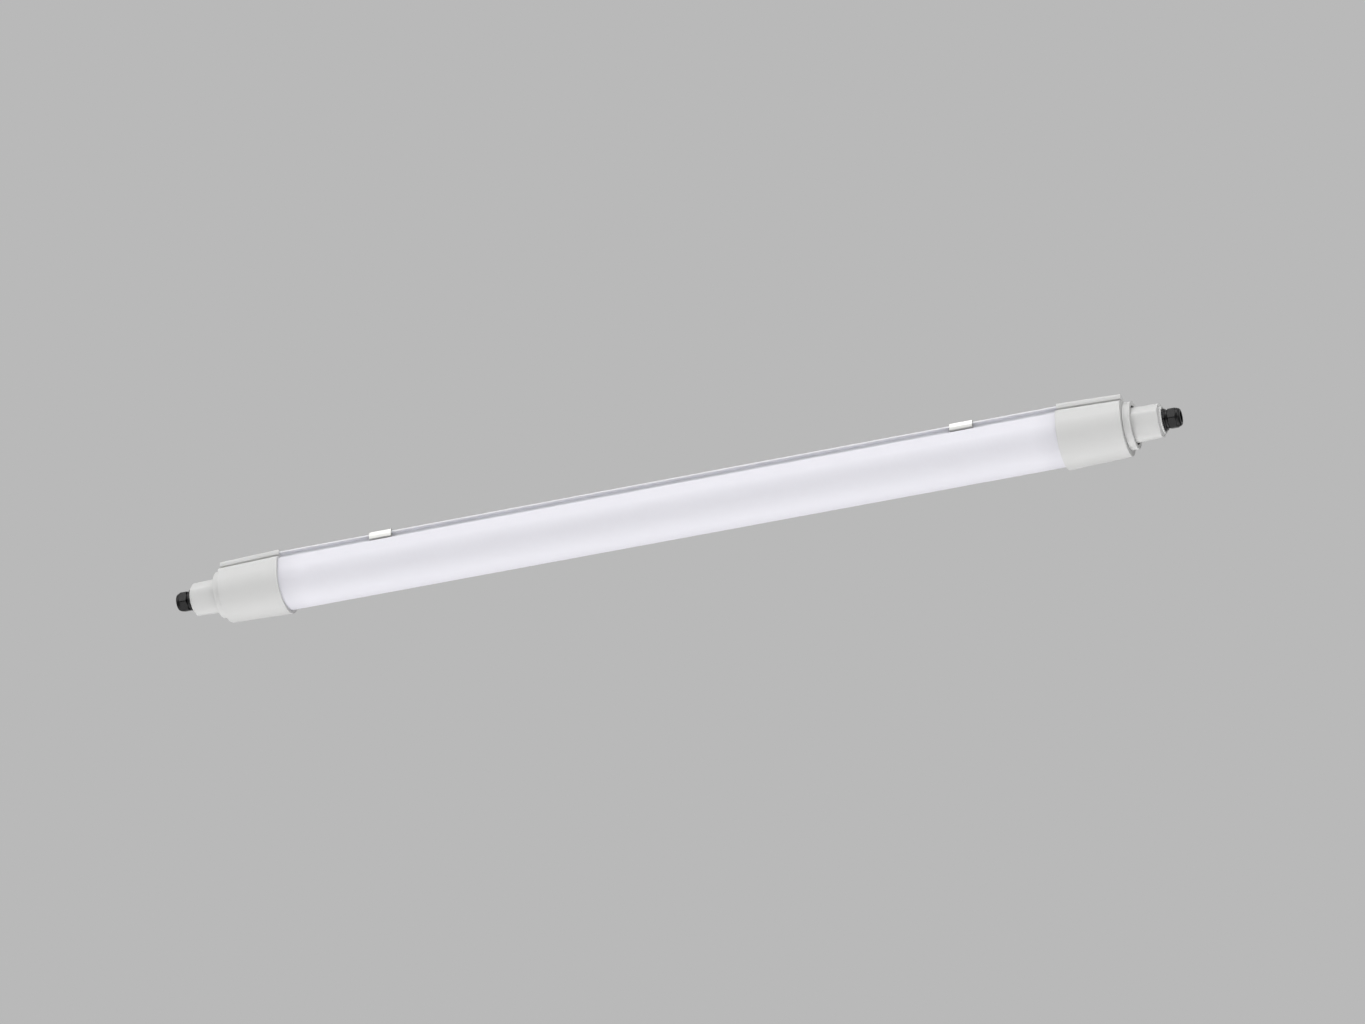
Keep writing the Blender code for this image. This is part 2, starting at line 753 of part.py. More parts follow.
def make_contacts(side, end):
    """The carrier in the spigot and its three contact pins."""
    flange_x = end_wall_x - seat_gap
    nose = spigot_bore_radius - seat_gap
    profile = [(cap_end_x + carrier_nose, 0), (cap_end_x + carrier_nose, nose), (flange_x, nose),
               (flange_x, spigot_bore_radius + carrier_rim),
               (flange_x - carrier_thickness, spigot_bore_radius + carrier_rim),
               (flange_x - carrier_thickness, 0)]
    carrier = turned(f"{side}_pin_carrier", profile, end, closed=False)
    holes = []
    for number, angle in enumerate(pole_angles, 1):
        place, length = along_x(flange_x - carrier_thickness - cut_overrun,
                                cap_end_x + carrier_nose + cut_overrun, *pole(angle))
        holes.append((place, (pin_radius + seat_gap, length)))
        place, length = along_x(pin_x, pin_x + pin_length, *pole(angle))
        brass(solids(f"{side}_contact_pin_{number}", [(place, (pin_radius, length))], end))
    combine(carrier, solids(f"{side}_carrier_holes", holes, end), "DIFFERENCE")
    black_plastic(carrier)


def neck_section(x, radius, power):
    """Points round the centre line: a circle at power 2, and a rounded diamond below 2."""
    points = []
    for step in range(round_steps):
        turn = 2 * math.pi * step / round_steps
        y, z = [math.copysign(abs(value) ** (2 / power), value) for value in (math.cos(turn), math.sin(turn))]
        points.append((x, radius * y, radius * z))
    return points


def make_terminal_housing(side, end):
    """The tapered neck: a round flange, a rounded diamond, and a chamfer down to a round rim."""
    sections = [(flange_ring_x, spigot_radius, 2), (neck_x, spigot_radius, 2),
                (neck_x, neck_radius, neck_power_share), (chamfer_x, neck_end_radius, neck_power_share),
                (chamfer_x + neck_chamfer_length, rim_radius, 2), (rim_end_x, rim_radius, 2)]
    mesh = bpy.data.meshes.new(f"{side}_terminal_housing")
    shape = bmesh.new()
    rings = [[shape.verts.new(point) for point in neck_section(*section)] for section in sections]
    for near, far in zip(rings, rings[1:]):
        for step in range(round_steps):
            after = (step + 1) % round_steps
            shape.faces.new((near[step], near[after], far[after], far[step]))
    shape.faces.new(reversed(rings[0]))
    shape.faces.new(rings[-1])
    bmesh.ops.recalc_face_normals(shape, faces=shape.faces)
    shape.to_mesh(mesh)
    shape.free()
    neck = add_object(f"{side}_terminal_housing", mesh, end)
    bore_end_x = flange_ring_x + neck_bore_length
    bore = [(rim_end_x + cut_overrun, 0), (rim_end_x + cut_overrun, washer_radius + seat_gap),
            (washer_x - seat_gap, washer_radius + seat_gap), (washer_x - seat_gap, tail_hole_radius),
            (neck_wall_x, tail_hole_radius), (neck_wall_x, neck_throat_radius),
            (bore_end_x, neck_throat_radius), (bore_end_x, neck_bore_radius),
            (flange_ring_x - cut_overrun, neck_bore_radius), (flange_ring_x - cut_overrun, 0)]
    combine(neck, turned(f"{side}_neck_bore", bore, end, closed=False), "DIFFERENCE")
    white_plastic(neck)
    seal_inner = spigot_radius - seal_width
    rubber(ring(f"{side}_housing_seal", seal_x, seal_x + seal_thickness, seal_inner, spigot_radius, end))


def make_lock_ring(side, end):
    """The lock ring, whose lip draws the terminal housing on to the cap, and its slip ring."""
    profile = [(ring_end_x, ring_radius - ring_edge), (ring_end_x - ring_edge, ring_radius),
               (ring_x + ring_edge, ring_radius), (ring_x, ring_radius - ring_edge),
               (ring_x, ring_bore_radius), (ring_lip_x, ring_bore_radius),
               (ring_lip_x, ring_lip_radius), (ring_end_x, ring_lip_radius)]
    white_plastic(turned(f"{side}_lock_ring", profile, end))
    black_plastic(ring(f"{side}_slip_ring", slip_ring_x, slip_ring_x + slip_ring_thickness,
                       ring_lip_radius, spigot_radius, end))


def make_terminal_block(side, end):
    """The push-in terminal block in the neck, with a through hole at each pole."""
    block = disc(f"{side}_terminal_block", block_x, block_x + block_length, block_radius, end)
    holes = []
    for angle in pole_angles:
        place, length = along_x(block_x - cut_overrun, block_x + block_length + cut_overrun, *pole(angle))
        holes.append((place, (block_hole_radius, length)))
    combine(block, solids(f"{side}_block_holes", holes, end), "DIFFERENCE")
    white_plastic(block)


def hexagon(name, x_from, x_to, across_flats, end):
    """A hexagonal bar with a corner on top and its corners turned down and chamfered."""
    corner = across_flats / math.sqrt(3)
    mesh = bpy.data.meshes.new(name)
    shape = bmesh.new()
    place, length = along_x(x_from, x_to, 0, 0)
    bmesh.ops.create_cone(shape, cap_ends=True, segments=6, radius1=corner, radius2=corner, depth=length,
                          matrix=Matrix.Rotation(math.pi / 6, 4, "X") @ place)
    shape.to_mesh(mesh)
    shape.free()
    bar = add_object(name, mesh, end)
    radius = corner * hex_corner_share
    profile = [(x_to + hex_chamfer, 0), (x_to + hex_chamfer, radius - 2 * hex_chamfer),
               (x_to - hex_chamfer, radius), (x_from + hex_chamfer, radius),
               (x_from - hex_chamfer, radius - 2 * hex_chamfer), (x_from - hex_chamfer, 0)]
    return combine(bar, turned(f"{name}_envelope", profile, end, closed=False), "INTERSECT")


def make_gland_body(side, end):
    """The gland's fixed body: a tail into the neck, a hexagon, a waist and a thread, and its washer."""
    body = hexagon(f"{side}_gland_body", base_x, waist_x, gland_across_flats, end)
    tail_x = base_x - gland_tail_length
    inside_base = (base_x + waist_x) / 2
    profile = [(thread_end_x, 0), (thread_end_x, gland_thread_radius),
               (waist_x + gland_waist_length, gland_thread_radius),
               (waist_x + gland_waist_length, gland_waist_radius), (inside_base, gland_waist_radius),
               (inside_base, gland_tail_radius), (tail_x, gland_tail_radius), (tail_x, 0)]
    combine(body, turned(f"{side}_gland_core", profile, end, closed=False), "UNION")
    bore_floor_x = insert_x - seat_gap
    bore = [(thread_end_x + cut_overrun, 0), (thread_end_x + cut_overrun, gland_bore_radius),
            (bore_floor_x, gland_bore_radius), (bore_floor_x, gland_throat_radius),
            (tail_x - cut_overrun, gland_throat_radius), (tail_x - cut_overrun, 0)]
    combine(body, turned(f"{side}_gland_bore", bore, end, closed=False), "DIFFERENCE")
    black_plastic(body)
    rubber(ring(f"{side}_gland_washer", washer_x, washer_x + washer_thickness, tail_hole_radius,
                washer_radius, end))
    rubber(ring(f"{side}_sealing_insert", insert_x, insert_x + insert_length, insert_bore_radius,
                gland_bore_radius - seat_gap, end))


def make_gland_nut(side, end):
    """The gland's domed nut and the clamp ring that it pushes against the insert."""
    nut = hexagon(f"{side}_gland_nut", nut_x, nut_ring_x, nut_across_flats, end)
    dome_x = nut_ring_x + nut_ring_length
    dome_radius = nut_ring_radius - nut_step
    profile = [(tip_x, 0)]
    for step in range(dome_steps + 1):
        turn = math.pi / 2 * (1 - step / dome_steps)
        profile.append((dome_x + nut_dome_length * math.sin(turn),
                        nut_tip_radius + (dome_radius - nut_tip_radius) * math.cos(turn)))
    inside_hex = (nut_x + nut_ring_x) / 2
    profile += [(dome_x, nut_ring_radius), (inside_hex, nut_ring_radius), (inside_hex, 0)]
    combine(nut, turned(f"{side}_nut_dome", profile, end, closed=False), "UNION")
    bore = [(tip_x + cut_overrun, 0), (tip_x + cut_overrun, cable_hole_radius),
            (nut_floor_x, cable_hole_radius), (nut_floor_x, nut_bore_radius),
            (nut_x - cut_overrun, nut_bore_radius), (nut_x - cut_overrun, 0)]
    combine(nut, turned(f"{side}_nut_bore", bore, end, closed=False), "DIFFERENCE")
    black_plastic(nut)
    clamp_x = thread_end_x + insert_nose + seat_gap
    black_plastic(ring(f"{side}_clamp_ring", clamp_x, nut_floor_x - seat_gap, cable_hole_radius,
                       nut_bore_radius - seat_gap, end))


def make_clip(side, body):
    """A spring steel clip: its back lies on the ceiling and its hooks reach under the flange."""
    tip_z = flange_under - seat_gap
    half = []
    for inset, bend in ((0, clip_bend), (clip_sheet, clip_bend - clip_sheet)):
        top = ceiling_above - inset
        side_y = clip_half_width - inset
        bottom = clip_bottom_above + inset
        hook = clip_hook_half_width + inset
        leg = round_corner((0, top), (side_y, top), (side_y, bottom), bend)
        leg += round_corner((side_y, top), (side_y, bottom), (hook, bottom), bend)
        leg += round_corner((side_y, bottom), (hook, bottom), (hook, tip_z), bend)
        leg.append((hook, tip_z))
        half = half + (list(reversed(leg)) if half else leg)
    x = tube_end_x - clip_insets[side]
    if end_turns[side]:
        x = -x
    clip = prism(f"{side}_ceiling_clip", both_sides(half), x - clip_width / 2, x + clip_width / 2, body)
    place = at(x, 0, ceiling_above - clip_sheet / 2)
    hole = solids(f"{side}_clip_hole", [(place, (clip_screw_radius, clip_sheet + 2 * cut_overrun))], body)
    steel(combine(clip, hole, "DIFFERENCE"))


def main():
    """Build the whole light."""
    clear_file()
    body = stand("lamp_body", 0)
    make_housing(body)
    make_diffuser(body)
    make_tray(body)
    make_boards(body)
    make_driver(body)
    make_wires(body)
    for side, turn in end_turns.items():
        end = stand(f"{side}_end", turn)
        make_cap(side, end)
        make_contacts(side, end)
        make_terminal_housing(side, end)
        make_lock_ring(side, end)
        make_terminal_block(side, end)
        make_gland_body(side, end)
        make_gland_nut(side, end)
        make_clip(side, body)


main()
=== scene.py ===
"""The looks of a weatherproof linear ceiling light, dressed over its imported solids.

Metres, +Z up. The light runs along X and hangs below the ceiling at z = 0 on two spring clips.
Both ends are the same: each is shaped as the right end and turned half a turn for the left one.
Heights of sections are counted from the light's own centre line, which runs through both glands.
"""

import json
import logging
import math
from collections.abc import Sequence
from dataclasses import dataclass
from enum import Enum

import bmesh
import bpy
import numpy as np
from mathutils import Matrix, Vector
from mathutils.geometry import tessellate_polygon

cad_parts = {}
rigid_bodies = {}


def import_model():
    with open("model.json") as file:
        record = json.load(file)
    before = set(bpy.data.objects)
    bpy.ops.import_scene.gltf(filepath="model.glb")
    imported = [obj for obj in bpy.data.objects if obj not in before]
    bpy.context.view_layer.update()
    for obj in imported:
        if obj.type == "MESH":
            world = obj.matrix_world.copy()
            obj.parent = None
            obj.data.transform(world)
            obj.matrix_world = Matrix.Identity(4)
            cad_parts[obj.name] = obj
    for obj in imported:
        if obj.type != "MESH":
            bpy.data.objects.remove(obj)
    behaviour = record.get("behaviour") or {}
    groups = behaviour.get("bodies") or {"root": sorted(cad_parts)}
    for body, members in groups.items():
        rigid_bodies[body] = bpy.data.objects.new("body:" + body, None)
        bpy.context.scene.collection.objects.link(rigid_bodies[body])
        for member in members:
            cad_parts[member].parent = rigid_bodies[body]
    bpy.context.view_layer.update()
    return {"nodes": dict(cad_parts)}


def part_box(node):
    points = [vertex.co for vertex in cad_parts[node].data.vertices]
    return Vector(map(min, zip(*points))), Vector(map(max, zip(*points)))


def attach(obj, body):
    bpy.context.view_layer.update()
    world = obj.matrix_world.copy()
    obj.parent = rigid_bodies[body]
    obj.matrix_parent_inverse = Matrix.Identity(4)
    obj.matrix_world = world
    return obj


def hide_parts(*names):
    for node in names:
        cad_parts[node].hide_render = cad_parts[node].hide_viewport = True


LOG = logging.getLogger("linear_light")
CENTRE_LINE = -0.0275
TUBE_END_X = 0.4845
CLIP_PLACES = {"left": -0.3400, "right": 0.3540}

# Points nearer than MERGE are one. A rounded corner takes at most LONGEST_SHARE of each of its sides,
# and LEAST_MITRE limits how far an inset moves a sharp corner.
MERGE = 1e-7
LONGEST_SHARE = 0.48
LEAST_MITRE = 0.6
# How finely circles, curves and long pieces are drawn
ROUND_STEPS = 96
FINE_STEPS = 144
HOLE_STEPS = 32
CURVE_STEPS = 40
EXTRUDED_RINGS = 9

# Rows of coordinates, and the corners of an outline: two coordinates and the radius each is rounded by
Points = np.ndarray
Corners = Sequence[tuple[float, float, float]]
# Short names for Blender's types
Piece = bpy.types.Object
Socket = bpy.types.NodeSocket
Tree = bpy.types.NodeTree


# Outlines and surfaces

def distinct(points: Points) -> Points:
    """The rows of coordinates that differ from the one before them."""
    steps = np.linalg.norm(np.diff(points, axis=0), axis=1)
    return points[np.concatenate([[True], steps > MERGE])]


def soften(corners: Corners, steps: int) -> Points:
    """Round the corners of an open outline.

    Each corner P becomes the curve (1-s)^2 A + 2s(1-s) P + s^2 B, with A and B on the two sides
    that meet there, as far from P as the corner's radius, or nearly half a side where that is less.

    Args:
        corners: the corners in order, with radius 0 at the two ends.
        steps: pieces a curve is drawn in.

    Returns:
        The rounded outline's points.
    """
    table = np.array(corners, float)
    sharp, reach = table[:, :2], table[:, 2:]

    def towards(other: Points) -> Points:
        """The points on the sides that lead to the given neighbours.

        Args:
            other: each corner's neighbour on one side.

        Returns:
            One point for each corner.
        """
        gap = other - sharp
        length = np.linalg.norm(gap, axis=1, keepdims=True)
        return sharp + gap / np.maximum(length, MERGE) * np.minimum(reach, LONGEST_SHARE * length)

    start = towards(np.vstack([sharp[:1], sharp[:-1]]))[:, None]
    end = towards(np.vstack([sharp[1:], sharp[-1:]]))[:, None]
    s = np.linspace(0.0, 1.0, steps + 1)[None, :, None]
    curve = (1 - s) ** 2 * start + 2 * s * (1 - s) * sharp[:, None] + s**2 * end
    return distinct(curve.reshape(-1, 2))


def ellipse_arc(across: float, down: float, start: float, end: float, steps: int) -> Points:
    """Points (across cos a, down sin a) for angles a in degrees from start to end."""
    turn = np.radians(np.linspace(start, end, steps + 1))
    return np.stack([across * np.cos(turn), down * np.sin(turn)], axis=1)


def both_sides(half: Points) -> Points:
    """A closed outline from its +y half, which starts and may end on y = 0, mirrored across it."""
    mirror = half[::-1] * (-1, 1)
    return np.vstack([half, mirror[half[::-1, 0] > MERGE]])


def closed_below(upper: Points, depth: float, steps: int = CURVE_STEPS) -> Points:
    """A closed outline from its upper +y quarter, with half an ellipse of the depth given below it."""
    return both_sides(np.vstack([upper, ellipse_arc(upper[-1, 0], depth, 0, -90, steps)[1:]]))


def inset(outline: Points, depth: float) -> Points:
    """A closed outline moved inwards by depth along the mean of its neighbouring sides' normals.

    Args:
        outline: the outline's points, in either sense.
        depth: how far inwards, or outwards where it is less than 0.

    Returns:
        The moved outline, point for point.
    """
    side = np.roll(outline, -1, axis=0) - outline
    side /= np.linalg.norm(side, axis=1, keepdims=True)
    normal = np.stack([side[:, 1], -side[:, 0]], axis=1)
    area = np.sum(outline[:, 0] * np.roll(outline[:, 1], -1) - np.roll(outline[:, 0], -1) * outline[:, 1])
    mean = normal + np.roll(normal, 1, axis=0)
    mean /= np.maximum(np.sum(mean * mean, axis=1, keepdims=True) / 2, LEAST_MITRE)
    return outline - np.sign(area) * depth * mean


def along(outline: Points, x: Points, scale: float = 1.0) -> Points:
    """Carry a (y, z) outline, times a scale, along the centre line: one ring at each x.

    Args:
        outline: the outline's points.
        x: the rings' places.
        scale: what the outline is multiplied by.

    Returns:
        Rings x points a ring x 3.
    """
    place = np.broadcast_to(x[:, None, None], (len(x), len(outline), 1))
    flat = np.broadcast_to(outline * scale, (len(x), *outline.shape))
    return np.concatenate([place, flat], axis=2) + (0, 0, CENTRE_LINE)


def drawn_in(outline: Points, x: Points, depths: Sequence[float], scale: Points | float = 1.0) -> Points:
    """Rings of a (y, z) outline along x, each drawn in by its own depth and then scaled.

    Args:
        outline: the closed outline's points.
        x: the rings' places.
        depths: how far each ring is drawn in.
        scale: one scale for all, or one a ring.

    Returns:
        Rings x points a ring x 3.
    """
    scales = np.broadcast_to(scale, x.shape)
    return np.concatenate([along(inset(outline, depth), x[i:i + 1], scales[i])
                           for i, depth in enumerate(depths)])


def turned(x: Points, radius: Points, steps: int = ROUND_STEPS) -> Points:
    """Rings round the centre line: point (i, j) is (x i, r cos a j, r sin a j), where r may vary with a.

    Args:
        x: the rings' places.
        radius: one radius a ring, or one a point.
        steps: points a ring.

    Returns:
        Rings x points a ring x 3.
    """
    turn = 2 * np.pi * np.arange(steps) / steps
    reach = radius if radius.ndim == 2 else np.repeat(radius[:, None], steps, axis=1)
    place = np.broadcast_to(x[:, None], reach.shape)
    return np.stack([place, reach * np.cos(turn), reach * np.sin(turn) + CENTRE_LINE], axis=2)


def section(corners: Corners, steps: int, round_steps: int = ROUND_STEPS) -> Points:
    """Rings round the centre line from the rounded corners (x, radius) of a section."""
    x, radius = soften(corners, steps).T
    return turned(x, radius, round_steps)


def soft_least(a: Points, b: Points, width: float) -> Points:
    """The smaller of two lengths, with the corner where they cross rounded over about width."""
    low = np.minimum(a, b)
    return low - width * np.log(np.exp((low - a) / width) + np.exp((low - b) / width))


def add_object(name: str, data: bpy.types.ID) -> Piece:
    """A new object with the data given, linked to the scene.

    Args:
        name: the object's name.
        data: its mesh, camera or lamp.

    Returns:
        The new object.
    """
    made = bpy.data.objects.new(name, data)
    bpy.context.scene.collection.objects.link(made)
    return made


class Skin:
    """One closed surface, gathered from grids of rings and the flat faces that join them."""

    def __init__(self) -> None:
        """Start with no points and no faces."""
        self.points: list[Points] = []
        self.quads: list[Points] = []
        self.flats: list[tuple[int, ...]] = []
        self.count = 0

    def grid(self, points: Points, round_again: bool = False) -> Points:
        """Add rings with a band of four-sided faces between each and the next.

        Args:
            points: rings x points a ring x 3, each ring closed on itself.
            round_again: also join the last ring to the first.

        Returns:
            The points' numbers, rings x points a ring.
        """
        rings, wide = points.shape[:2]
        numbers = self.count + np.arange(rings * wide).reshape(rings, wide)
        self.points.append(points.reshape(-1, 3))
        self.count += rings * wide
        here = numbers if round_again else numbers[:-1]
        there = np.roll(numbers, -1, axis=0)[: len(here)]
        faces = np.stack([here, np.roll(here, -1, axis=1), np.roll(there, -1, axis=1), there], axis=2)
        self.quads.append(faces.reshape(-1, 4))
        return numbers

    def flat(self, outline: Points, *holes: Points) -> None:
        """Close a flat outline, apart from its holes, with faces between points already added.

        Args:
            outline: the numbers of the outer ring's points.
            holes: the numbers of each inner ring's points.
        """
        rings = (outline, *holes)
        places = np.concatenate(self.points)
        corners = [[Vector(place) for place in places[ring]] for ring in rings]
        numbers = np.concatenate(rings)
        self.flats += [tuple(int(numbers[i]) for i in face) for face in tessellate_polygon(corners)]

    def ends(self, rings: Points) -> None:
        """Close the first and the last ring of a grid by flat faces."""
        self.flat(rings[0])
        self.flat(rings[-1])

    def piece(self, name: str, crease: float = 38.0) -> Piece:
        """Make the mesh object: merged, facing out, smooth except at creases and flat faces.

        Args:
            name: the object's name.
            crease: the angle in degrees past which an edge shows as sharp.

        Returns:
            The new object, linked to the scene.
        """
        quads = np.concatenate(self.quads)
        mesh = bpy.data.meshes.new(name)
        mesh.from_pydata(np.concatenate(self.points), [], quads.tolist() + self.flats)
        smooth = np.arange(len(quads) + len(self.flats)) < len(quads)
        mesh.polygons.foreach_set("use_smooth", smooth)
        shape = bmesh.new()
        shape.from_mesh(mesh)
        bmesh.ops.remove_doubles(shape, verts=shape.verts, dist=MERGE)
        bmesh.ops.recalc_face_normals(shape, faces=shape.faces)
        if shape.calc_volume(signed=True) < 0:
            bmesh.ops.reverse_faces(shape, faces=shape.faces)
        open_edges = sum(not edge.is_manifold for edge in shape.edges)
        shape.to_mesh(mesh)
        shape.free()
        mesh.set_sharp_from_angle(angle=math.radians(crease))
        if open_edges:
            LOG.warning("%s has %d open edges", name, open_edges)
        piece = add_object(name, mesh)
        even = piece.modifiers.new("even_shading", "WEIGHTED_NORMAL")
        even.keep_sharp = True
        return piece


def looped(name: str, rings: Points) -> Piece:
    """A piece whose rings join round again, as those of a turned ring's section do.

    Args:
        name: the piece's name.
        rings: its rings, the last beside the first.

    Returns:
        The new piece.
    """
    skin = Skin()
    skin.grid(rings, round_again=True)
    return skin.piece(name)


def extruded(name: str, outline: Points) -> Piece:
    """A closed outline carried from one end of the tube to the other, closed by flat ends.

    Args:
        name: the piece's name.
        outline: the closed (y, z) outline.

    Returns:
        The new piece.
    """
    skin = Skin()
    skin.ends(skin.grid(along(outline, np.linspace(-TUBE_END_X, TUBE_END_X, EXTRUDED_RINGS))))
    return skin.piece(name)


# Materials

# A wave texture has this many radians a unit of its scale, and a noise keeps mostly between these two.
WAVE_RADIANS = 20
NOISE_LOW = 0.3
NOISE_HIGH = 0.7


def srgb(code: str) -> tuple[float, float, float, float]:
    """The linear colour of an sRGB hex code, with full opacity.

    Args:
        code: six hex digits.

    Returns:
        Red, green, blue and opacity from 0 to 1.
    """
    parts = np.array([int(code[i:i + 2], 16) for i in (0, 2, 4)]) / 255
    linear = np.where(parts <= 0.04045, parts / 12.92, ((parts + 0.055) / 1.055) ** 2.4)
    return (*linear.tolist(), 1.0)


def per_metre(millimetres: float) -> float:
    """How many of a thing of this size fit in a metre, which is a texture's scale."""
    return 1000.0 / millimetres


def add_node(tree: Tree, kind: str, inputs: dict[str | int, object] | None = None,
             **settings: object) -> bpy.types.Node:
    """Add a shader node of this kind.

    Args:
        tree: the node tree.
        kind: the node's type name.
        inputs: a value or an output socket for each named or numbered input.
        settings: the node's own properties.

    Returns:
        The new node.
    """
    node = tree.nodes.new(kind)
    for key, value in settings.items():
        setattr(node, key, value)
    for key, value in (inputs or {}).items():
        if isinstance(value, Socket):
            tree.links.new(value, node.inputs[key])
        else:
            node.inputs[key].default_value = value
    return node


@dataclass(frozen=True)
class Finish:
    """A surface: a grain that roughens it, a slow drift of its colour and wider patches of gloss.

    The grain is stretched along x by the draw factor, as on a thing drawn or extruded that way.
    """

    name: str
    colour: str
    shade: str
    roughness: float
    roughness_drift: float = 0.05
    ior: float = 1.5
    metallic: float = 0.0
    grain_mm: float = 0.7
    grain_depth_mm: float = 0.01
    drift_mm: float = 45.0
    draw: float = 1.0
    coat: float = 0.0

    def material(self) -> bpy.types.Material:
        """The finish as a material, made on first use.

        Returns:
            The material of this finish's name.
        """
        made = bpy.data.materials.get(self.name)
        if made:
            return made
        made = bpy.data.materials.new(self.name)
        made.use_nodes = True
        tree = made.node_tree
        shader = tree.nodes["Principled BSDF"].inputs
        shader["Metallic"].default_value = self.metallic
        if not self.metallic:
            shader["IOR"].default_value = self.ior
        shader["Coat Weight"].default_value = self.coat
        place = add_node(tree, "ShaderNodeTexCoord").outputs["Object"]
        drawn = add_node(tree, "ShaderNodeMapping", {"Vector": place, "Scale": (1 / self.draw, 1.0, 1.0)})
        drawn = drawn.outputs["Vector"]
        grain = add_node(tree, "ShaderNodeTexNoise", {
            "Vector": drawn, "Scale": per_metre(self.grain_mm), "Detail": 2.0, "Roughness": 0.6})
        drift = add_node(tree, "ShaderNodeTexNoise", {
            "Vector": drawn, "Scale": per_metre(self.drift_mm), "Detail": 3.0}).outputs["Fac"]
        tree.links.new(self.colouring(tree, place, drift), shader["Base Color"])
        gloss = add_node(tree, "ShaderNodeMapRange", {
            "Value": drift, "From Min": NOISE_LOW, "From Max": NOISE_HIGH,
            "To Min": self.roughness - self.roughness_drift,
            "To Max": self.roughness + self.roughness_drift})
        tree.links.new(gloss.outputs["Result"], shader["Roughness"])
        relief = add_node(tree, "ShaderNodeBump", {
            "Height": grain.outputs["Fac"], "Strength": 1.0, "Distance": self.grain_depth_mm / 1000})
        tree.links.new(relief.outputs["Normal"], shader["Normal"])
        return made

    def colouring(self, tree: Tree, place: Socket, drift: Socket) -> Socket:
        """The colour, which drifts slowly between the two given ones.

        Args:
            tree: the material's nodes.
            place: the object coordinates.
            drift: a slow pattern from 0 to 1.

        Returns:
            The socket that gives the colour.
        """
        ramp = add_node(tree, "ShaderNodeValToRGB", {"Fac": drift})
        stops = ((NOISE_LOW, self.shade), (NOISE_HIGH, self.colour))
        for element, (position, colour) in zip(ramp.color_ramp.elements, stops):
            element.position = position
            element.color = srgb(colour)
        return ramp.outputs["Color"]


@dataclass(frozen=True)
class FrostedFinish(Finish):
    """Milky extruded plastic, with a little painted shade over the last stretch of the tube before each cap,
    where the caps shade it.
    """

    # Painted shade: the darker colour next to each cap, the tube's half length out to the cap mouth, and the
    # stretch that the shade fades in over
    end_shade: str = "E4E3EA"
    half_length_mm: float = 464.5
    shade_mm: float = 32.0

    def colouring(self, tree: Tree, place: Socket, drift: Socket) -> Socket:
        """The plain colouring, with painted shade over the last stretch before each cap, by distance from mid
        length.

        Args:
            tree: the material's nodes.
            place: the object coordinates.
            drift: a slow pattern from 0 to 1.

        Returns:
            The socket that gives the colour.
        """
        plain = super().colouring(tree, place, drift)
        apart = add_node(tree, "ShaderNodeSeparateXYZ", {"Vector": place})
        away = add_node(tree, "ShaderNodeMath", {0: apart.outputs["X"]}, operation="ABSOLUTE")
        # Painted shade: its share grows smoothly over the last stretch before each cap
        painted_shade_share = add_node(tree, "ShaderNodeMapRange", {
            "Value": away.outputs[0], "From Min": (self.half_length_mm - self.shade_mm) / 1000,
            "From Max": self.half_length_mm / 1000}, interpolation_type="SMOOTHSTEP")
        mixed = add_node(tree, "ShaderNodeMix", {
            0: painted_shade_share.outputs["Result"], 6: plain, 7: srgb(self.end_shade)}, data_type="RGBA")
        return mixed.outputs[2]


@dataclass(frozen=True)
class StripedSheath(Finish):
    """Wire insulation with a second colour in a stripe, as on an earth wire."""

    stripe: str = "D8C42A"
    stripe_mm: float = 9.0

    def colouring(self, tree: Tree, place: Socket, drift: Socket) -> Socket:
        """Bands across the wire, slanted by the height, in the plain colour and the stripe's.

        Args:
            tree: the material's nodes.
            place: the object coordinates.
            drift: a slow pattern from 0 to 1.

        Returns:
            The socket that gives the colour.
        """
        plain = super().colouring(tree, place, drift)
        scale = per_metre(self.stripe_mm) / WAVE_RADIANS
        bands = add_node(tree, "ShaderNodeTexWave", {"Vector": place, "Scale": scale},
                         bands_direction="DIAGONAL")
        chosen = add_node(tree, "ShaderNodeMath", {0: bands.outputs["Fac"], 1: 0.5},
                          operation="GREATER_THAN")
        mixed = add_node(tree, "ShaderNodeMix", {0: chosen.outputs[0], 6: plain, 7: srgb(self.stripe)},
                         data_type="RGBA")
        return mixed.outputs[2]


# Off-white polycarbonate from a spark-eroded mould: an even satin with a faint grain. The grain
# of about 0.1 mm is drawn at 0.9 mm, so that it shows.
MOULDED = Finish("moulded_polycarbonate", "DBDBDA", "D9D9D8", 0.48, roughness_drift=0.03, ior=1.58,
                 grain_mm=0.9, grain_depth_mm=0.010)
# Co-extruded white polycarbonate: smooth, with long faint die lines and a soft gloss.
EXTRUDED = Finish("extruded_polycarbonate", "E8E8EC", "E6E6EA", 0.42, roughness_drift=0.01, ior=1.58,
                  grain_mm=0.8, grain_depth_mm=0.003, draw=60.0)
# Opal polycarbonate with a matt skin: bluish white, spreading the light so that no source shows.
OPAL = FrostedFinish("opal_polycarbonate", "EFEEF5", "EDECF3", 0.5, roughness_drift=0.02, ior=1.58,
                     grain_mm=1.0, grain_depth_mm=0.004, draw=40.0)
# Black nylon 66: deep black, with a weak satin sheen that catches the light on its flats.
NYLON = Finish("moulded_black_nylon", "0C0C0D", "09090A", 0.32, roughness_drift=0.04, ior=1.36,
               grain_mm=0.5, grain_depth_mm=0.005, drift_mm=12.0)
# Moulded nitrile rubber: dark grey and matt, with a dusty bloom.
RUBBER = Finish("moulded_rubber", "3A3A3C", "2E2E30", 0.78, ior=1.52, grain_mm=0.8, grain_depth_mm=0.03,
                drift_mm=8.0)
